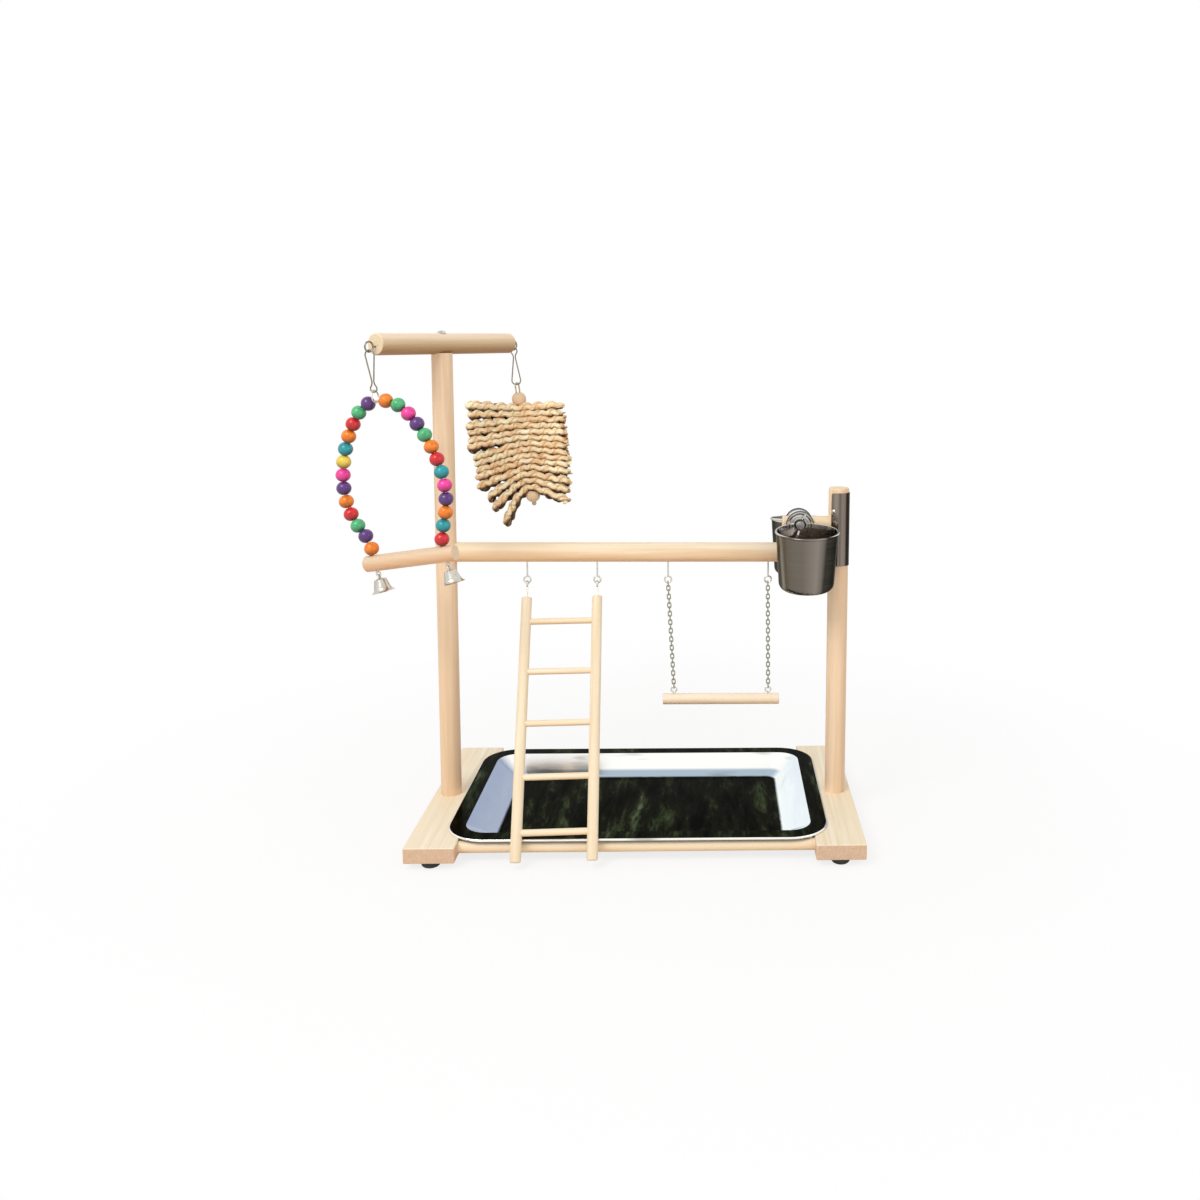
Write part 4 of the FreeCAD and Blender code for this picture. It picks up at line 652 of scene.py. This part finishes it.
cord_finish = Finish("toy_cord", roughness=0.7)
lay = cord_finish.noise(cord_finish.moved(cord_finish.object_coords, turn=(0, 40, 0),
                                          scale=(1, 1, 0.2)), 900.0)
cord_finish.colour(cord_finish.ramp(lay, (0.35, (0.40, 0.27, 0.14)), (0.65, (0.72, 0.56, 0.36))))
cord_finish.bump(lay, 0.0003, 0.7)
dress("toy_cord", cord_finish)
print("rubber and cord finishes made")

# %% [markdown]
# ## The husk ropes
#
# The toy is a stack of ropes twisted from strips of dried husk. Each is folded once at its left
# end, so two runs lie beside the cord, one in front and one behind. The back run hangs half a
# row lower, so the gaps between the front rows look dark. A rope of two strands can be
# made as one tube whose section has two lobes that turn as the tube goes along: the creases
# between the lobes are the lay that the eye reads. Fine ridges on each lobe are the husk's veins.
# The creases, the undersides and the side facing the cord are darkened with painted shade.


# %% Rope helpers
def unit(vectors):
    """Vectors scaled to length one."""
    return vectors / np.linalg.norm(vectors, axis=-1, keepdims=True)


def along(points):
    """Distance from the start to each point."""
    steps = np.linalg.norm(np.diff(points, axis=0), axis=1)
    return np.concatenate([[0.0], np.cumsum(steps)])


def evenly(points, step):
    """The same line with its points an even step apart."""
    reached = along(points)
    count = max(int(reached[-1] / step), 8)
    stations = np.linspace(0.0, reached[-1], count)
    return np.stack([np.interp(stations, reached, points[:, axis]) for axis in range(3)], axis=1)


def smooth_line(points, width):
    """Moving average over width points, with the ends held."""
    padded = np.concatenate([np.repeat(points[:1], width, 0), points, np.repeat(points[-1:], width, 0)])
    kernel = np.ones(2 * width + 1) / (2 * width + 1)
    return np.stack([np.convolve(padded[:, axis], kernel, mode="valid") for axis in range(3)], axis=1)


def wobble(count, size, waves, seed):
    """A smooth random curve: a few sines of random phase, as tall as size."""
    local = np.random.default_rng(seed)
    place = np.linspace(0, 2 * math.pi, count)
    total = np.zeros(count)
    for wave in range(1, waves + 1):
        total += np.sin(place * wave * local.uniform(0.8, 1.3) + local.uniform(0, 6.3)) / wave ** 0.5
    return size * total / max(np.abs(total).max(), 1e-9)


def tube_mesh(rings, values):
    """A mesh from rings of points, shape (stations, sides, 3), with each end drawn to a pole.

    values, of shape (stations, sides), becomes a point attribute that holds the painted shade.
    """
    stations, sides = rings.shape[:2]
    poles = np.stack([rings[0].mean(axis=0), rings[-1].mean(axis=0)])
    verts = np.concatenate([rings.reshape(-1, 3), poles])
    i, j = np.meshgrid(np.arange(stations - 1), np.arange(sides), indexing="ij")
    k = (j + 1) % sides
    quads = np.stack([i * sides + j, i * sides + k, (i + 1) * sides + k, (i + 1) * sides + j], -1)
    side = np.arange(sides)
    first = np.stack([np.full(sides, stations * sides), (side + 1) % sides, side], -1)
    base = (stations - 1) * sides
    last = np.stack([np.full(sides, stations * sides + 1), base + side, base + (side + 1) % sides], -1)
    return verts, quads.reshape(-1, 4), np.concatenate([first, last]), values


def join_meshes(name, parts):
    """One object from several tube_mesh results, its smooth faces pointing outwards."""
    verts, faces, crease_shade, offset = [], [], [], 0
    for part_verts, quads, tris, values in parts:
        verts.append(part_verts)
        faces += (quads + offset).tolist() + (tris + offset).tolist()
        crease_shade.append(np.append(values.reshape(-1), [0.5, 0.5]))
        offset += len(part_verts)
    mesh = bpy.data.meshes.new(name)
    mesh.from_pydata(np.concatenate(verts), [], faces)
    mesh.polygons.foreach_set("use_smooth", np.ones(len(mesh.polygons), dtype=bool))
    shade_attribute = mesh.attributes.new("crease_shade", "FLOAT", "POINT")
    shade_attribute.data.foreach_set("value", np.concatenate(crease_shade).astype(np.float32))
    mesh.update()
    made = bpy.data.objects.new(name, mesh)
    bpy.context.scene.collection.objects.link(made)
    return made


def twisted(points, radius, pitch, seed, lead, sides=28, step=0.0010, taper=0.005, wave=0.0018):
    """A two-strand rope along a line, as a tube_mesh result.

    With a the angle round the line, s the distance along it past lead and t = 2 pi s / pitch,
    the line waves up and down by wave * sin(2 t) and the radius is
    radius * (core + lobe * |cos(a - t)| ** 0.9) plus ridges for the veins, shrinking to the share
    tip towards each end over the taper. Each point also gets a painted shade value: high in the
    lay between the strands, most of all where a rope rests on the next one, and on the side that
    faces the cord.
    """
    core, lobe, tip = 0.58, 0.42, 0.55
    vein_height, vein_count = 0.045, 7
    line = evenly(points, step)
    count = len(line)
    reached = along(line)
    turns = 2 * math.pi * (reached - lead) / pitch + wobble(count, 0.9, 6, seed + 2)
    line[:, 2] += wave * np.sin(2 * turns) + wobble(count, radius * 0.12, 9, seed)
    line[:, 1] += wobble(count, radius * 0.15, 8, seed + 1)
    forward = unit(np.gradient(line, axis=0))
    across = unit(np.cross(forward, np.array([0.0, 0.0, 1.0])))
    lift = np.cross(across, forward)
    angle = np.linspace(0, 2 * math.pi, sides, endpoint=False)[None, :]
    spin = turns[:, None]
    lobes = np.abs(np.cos(angle - spin)) ** 0.9
    veins = vein_height * np.sin(vein_count * (angle - spin) + wobble(count, 1.6, 14, seed + 3)[:, None])
    swell = 1 + wobble(count, 0.14, 11, seed + 4)[:, None]
    ends = np.clip(np.minimum(reached, reached[-1] - reached) / taper, 0, 1)[:, None]
    size = radius * (core + lobe * lobes + veins * lobes) * swell * (tip + (1 - tip) * np.sqrt(ends))
    rings = (line[:, None, :] + size[..., None] * (np.cos(angle)[..., None] * across[:, None, :]
                                                   + np.sin(angle)[..., None] * lift[:, None, :]))
    below = np.clip(-np.sin(angle), 0, 1)
    # Painted shade: darker in the lay, most of all underneath, and on the side facing the cord.
    crease_shade = (1 - lobes) * (0.45 + 0.8 * below ** 2) + 0.75 * below ** 4
    crease_shade = np.maximum(crease_shade, np.clip(np.cos(angle), 0, 1) ** 0.7)
    return tube_mesh(rings, np.clip(crease_shade, 0, 1))


def frayed_end(place, way, seed, strip_count=3, half_width=0.0026, half_thickness=0.0010):
    """Loose strips of husk that fan out of a rope's cut end, as tube_mesh results.

    Each strip starts inside the rope, set back from place, runs roughly along way and curls. Its
    section is a flat ellipse that narrows to the tip.
    """
    set_back = 0.004
    local = np.random.default_rng(seed)
    made = []
    angle = np.linspace(0, 2 * math.pi, 8, endpoint=False)[None, :]
    for _ in range(strip_count):
        aim = unit((way + local.normal(0, 0.22, 3))[None, :])[0]
        curl = local.normal(0, 0.25, 3)
        run = np.linspace(0, 1, 9)[:, None]
        length = local.uniform(0.0050, 0.0070)
        line = place - way * set_back + length * (run * aim + run ** 2 * curl)
        forward = unit(np.gradient(line, axis=0))
        flat = unit(np.cross(forward, local.normal(0, 1, 3)[None, :]))
        thick = np.cross(flat, forward)
        narrow = (1.05 - run ** 9) ** 0.5
        rings = (line[:, None, :]
                 + half_width * (narrow * np.cos(angle))[..., None] * flat[:, None, :]
                 + half_thickness * (narrow * np.sin(angle))[..., None] * thick[:, None, :])
        # Each strip takes one painted shade value, drawn at random.
        made.append(tube_mesh(rings, np.full(rings.shape[:2], local.uniform(0.0, 0.45))))
    return made


# %% [markdown]
# The ropes' lines follow the same few sizes as the CAD solids: how far each reaches to the left
# and right of the cord, and how steeply it hangs there. The lowest ropes bend over a knee, where
# the ones below no longer hold them up. The spacing down the cord is worked out so that each
# rope clears the one above. These are the sizes of the plain solids; the twisted ropes are drawn
# thicker, so that they rest on each other as dried husk does.

# %% Rope lines
rope_radius, rope_gap, rope_spread, back_lower = 0.0031, 0.0003, 0.0052, 0.0030
ball_radius, knee_reach, clear_reach, knee_share = 0.008, 0.015, 0.045, 0.55
knee_slope = math.radians(30)
drawn_radius, lay_pitch = 0.0048, 0.029
side_points, fold_points, knee_width, way_points = 60, 16, 9, 8
reach_left = np.array([55, 54, 57, 56, 57, 59, 54, 54, 53, 55, 55, 49, 48, 46]) / 1000
reach_right = np.array([49, 48, 50, 49, 49, 50, 47, 49, 50, 48, 46, 48, 45, 44]) / 1000
slope_left = np.radians([-3, 1, 7, 8, 11, 11, 17, 18, 19, 19, 23, 36, 45, 66])
slope_right = np.radians([-5, -3, -1, 0, 1, 3, 4, 6, 6, 6, 7, 11, 17, 23])


def near_slope(slope):
    """A rope's slope beside the cord: gentler if it is steep enough to have a knee."""
    return slope * (knee_share if slope > knee_slope else 1.0)


def rope_sag(slope, reach):
    """How far a rope has come down: reach * tan(slope), gentler inside the knee."""
    bent = np.maximum(reach - knee_reach, 0)
    return (reach - bent) * np.tan(near_slope(slope)) + bent * np.tan(slope)


def rope_room(above, below):
    """How far one rope hangs under the next, given both slopes on one side of the cord."""
    return max((2 * rope_radius + rope_gap) / math.cos(slope) + rope_sag(above, reach)
               - rope_sag(below, reach)
               for reach, slope in ((0, near_slope(above)), (knee_reach, above), (clear_reach, above)))


top_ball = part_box("toy_ball_top")
ball_middle = (Vector(top_ball[0]) + Vector(top_ball[1])) / 2
toy_lean = math.radians(7.4)
toy_down = Vector((math.sin(toy_lean), 0.0, -math.cos(toy_lean)))
drops = [math.sqrt((ball_radius + rope_radius + rope_gap) ** 2 - rope_spread ** 2)]
for upper in range(len(reach_left) - 1):
    drops.append(drops[-1] + max(rope_room(slopes[upper], slopes[upper + 1])
                                 for slopes in (slope_left, slope_right)))


def rope_side(reach, slope):
    """Distances out and down of one side of a rope, from the cord to its tip."""
    knee = min(knee_reach, reach)
    out = np.linspace(0, knee + (reach - knee) * math.cos(slope), side_points)
    return out, rope_sag(slope, out)


def rope_line(index):
    """The folded line of one rope: front run, half circle, back run half a row lower."""
    right, right_down = rope_side(reach_right[index], slope_right[index])
    left, left_down = rope_side(reach_left[index], slope_left[index])
    out = np.concatenate([right[::-1], -left[1:]])
    height = -np.concatenate([right_down[::-1], left_down[1:]])
    run = smooth_line(np.stack([out, np.full_like(out, -rope_spread), height], axis=1), knee_width)
    turn = np.linspace(0, math.pi, fold_points)[1:-1]
    way = unit((run[-1] - run[-way_points])[None, :])[0]
    fold = (run[-1] + np.array([0, rope_spread, 0]) + np.outer(np.sin(turn) * rope_spread, way)
            - np.outer(np.cos(turn), np.array([0, rope_spread, 0]))
            - np.outer(1 - np.cos(turn), np.array([0, 0, back_lower / 2])))
    back = run[::-1] * np.array([1, -1, 1]) - np.array([0, 0, back_lower])
    centre = np.array(ball_middle + toy_down * drops[index])
    return centre + np.concatenate([run, fold, back])


husk = Finish("husk_rope", roughness=0.72)
# Painted shade: the shade attribute darkens the husk in the lay, underneath and towards the cord.
shade_attribute = husk.node("Attribute", attribute_name="crease_shade").outputs["Fac"]
# The husk's own tone, tan to cream in blotches; the creamiest blotches also stand in as painted
# highlights.
blotches = husk.noise(husk.moved(husk.object_coords, scale=(0.45, 1.0, 1.5)), 190.0, detail=6.0,
                      rough=0.7)
husk_tone_and_highlights = husk.ramp(blotches, (0.32, (0.62, 0.39, 0.19)), (0.43, (0.86, 0.64, 0.37)),
                      (0.53, (0.99, 0.84, 0.56)), (0.66, (1.0, 0.98, 0.74)))
rows = husk.noise(husk.moved(husk.object_coords, scale=(0.4, 1.0, 1.0)), 90.0, detail=1.0)
peach = husk.ramp(rows, (0.42, (1.0, 1.0, 1.0)), (0.60, (0.92, 0.77, 0.67)))
shade = husk.ramp(shade_attribute, (0.22, (1.0, 1.0, 1.0)), (0.46, (0.68, 0.54, 0.38)), (0.78, (0.11, 0.06, 0.03)))
# Painted shade: undersides darker.
underside_shade = husk.ramp(husk.normal("Z"), (0.05, (0.40, 0.30, 0.20)), (0.42, (1, 1, 1)))
husk.colour(husk.times(husk.times(husk_tone_and_highlights, peach), husk.times(shade, underside_shade)))
fibres = husk.noise(husk.moved(husk.object_coords, scale=(0.35, 1.0, 1.2)), 900.0, detail=3.0)
husk.bump(fibres, 0.0004, 0.8)

rope_seed, fray_seed, seed_step, tip_points = 100, 500, 10, 4
rope_groups = (("vine_ropes_top", 0, 4), ("vine_ropes_upper", 4, 8),
               ("vine_ropes_lower", 8, 12), ("vine_ropes_bottom", 12, 14))
for name, first, last in rope_groups:
    parts = []
    for index in range(first, last):
        line = rope_line(index)
        seed = seed_step * index
        parts.append(twisted(line, drawn_radius, lay_pitch, rope_seed + seed, reach_right[index]))
        for end, inner in ((0, tip_points), (-1, -1 - tip_points)):
            parts += frayed_end(line[end], unit((line[end] - line[inner])[None, :])[0],
                                fray_seed + seed + end)
    ropes = join_meshes(name + "_twisted", parts)
    ropes.data.materials.append(husk.material)
    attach(ropes, "vine_toy")
    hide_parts(name)
    print(ropes.name, "faces:", len(ropes.data.polygons))
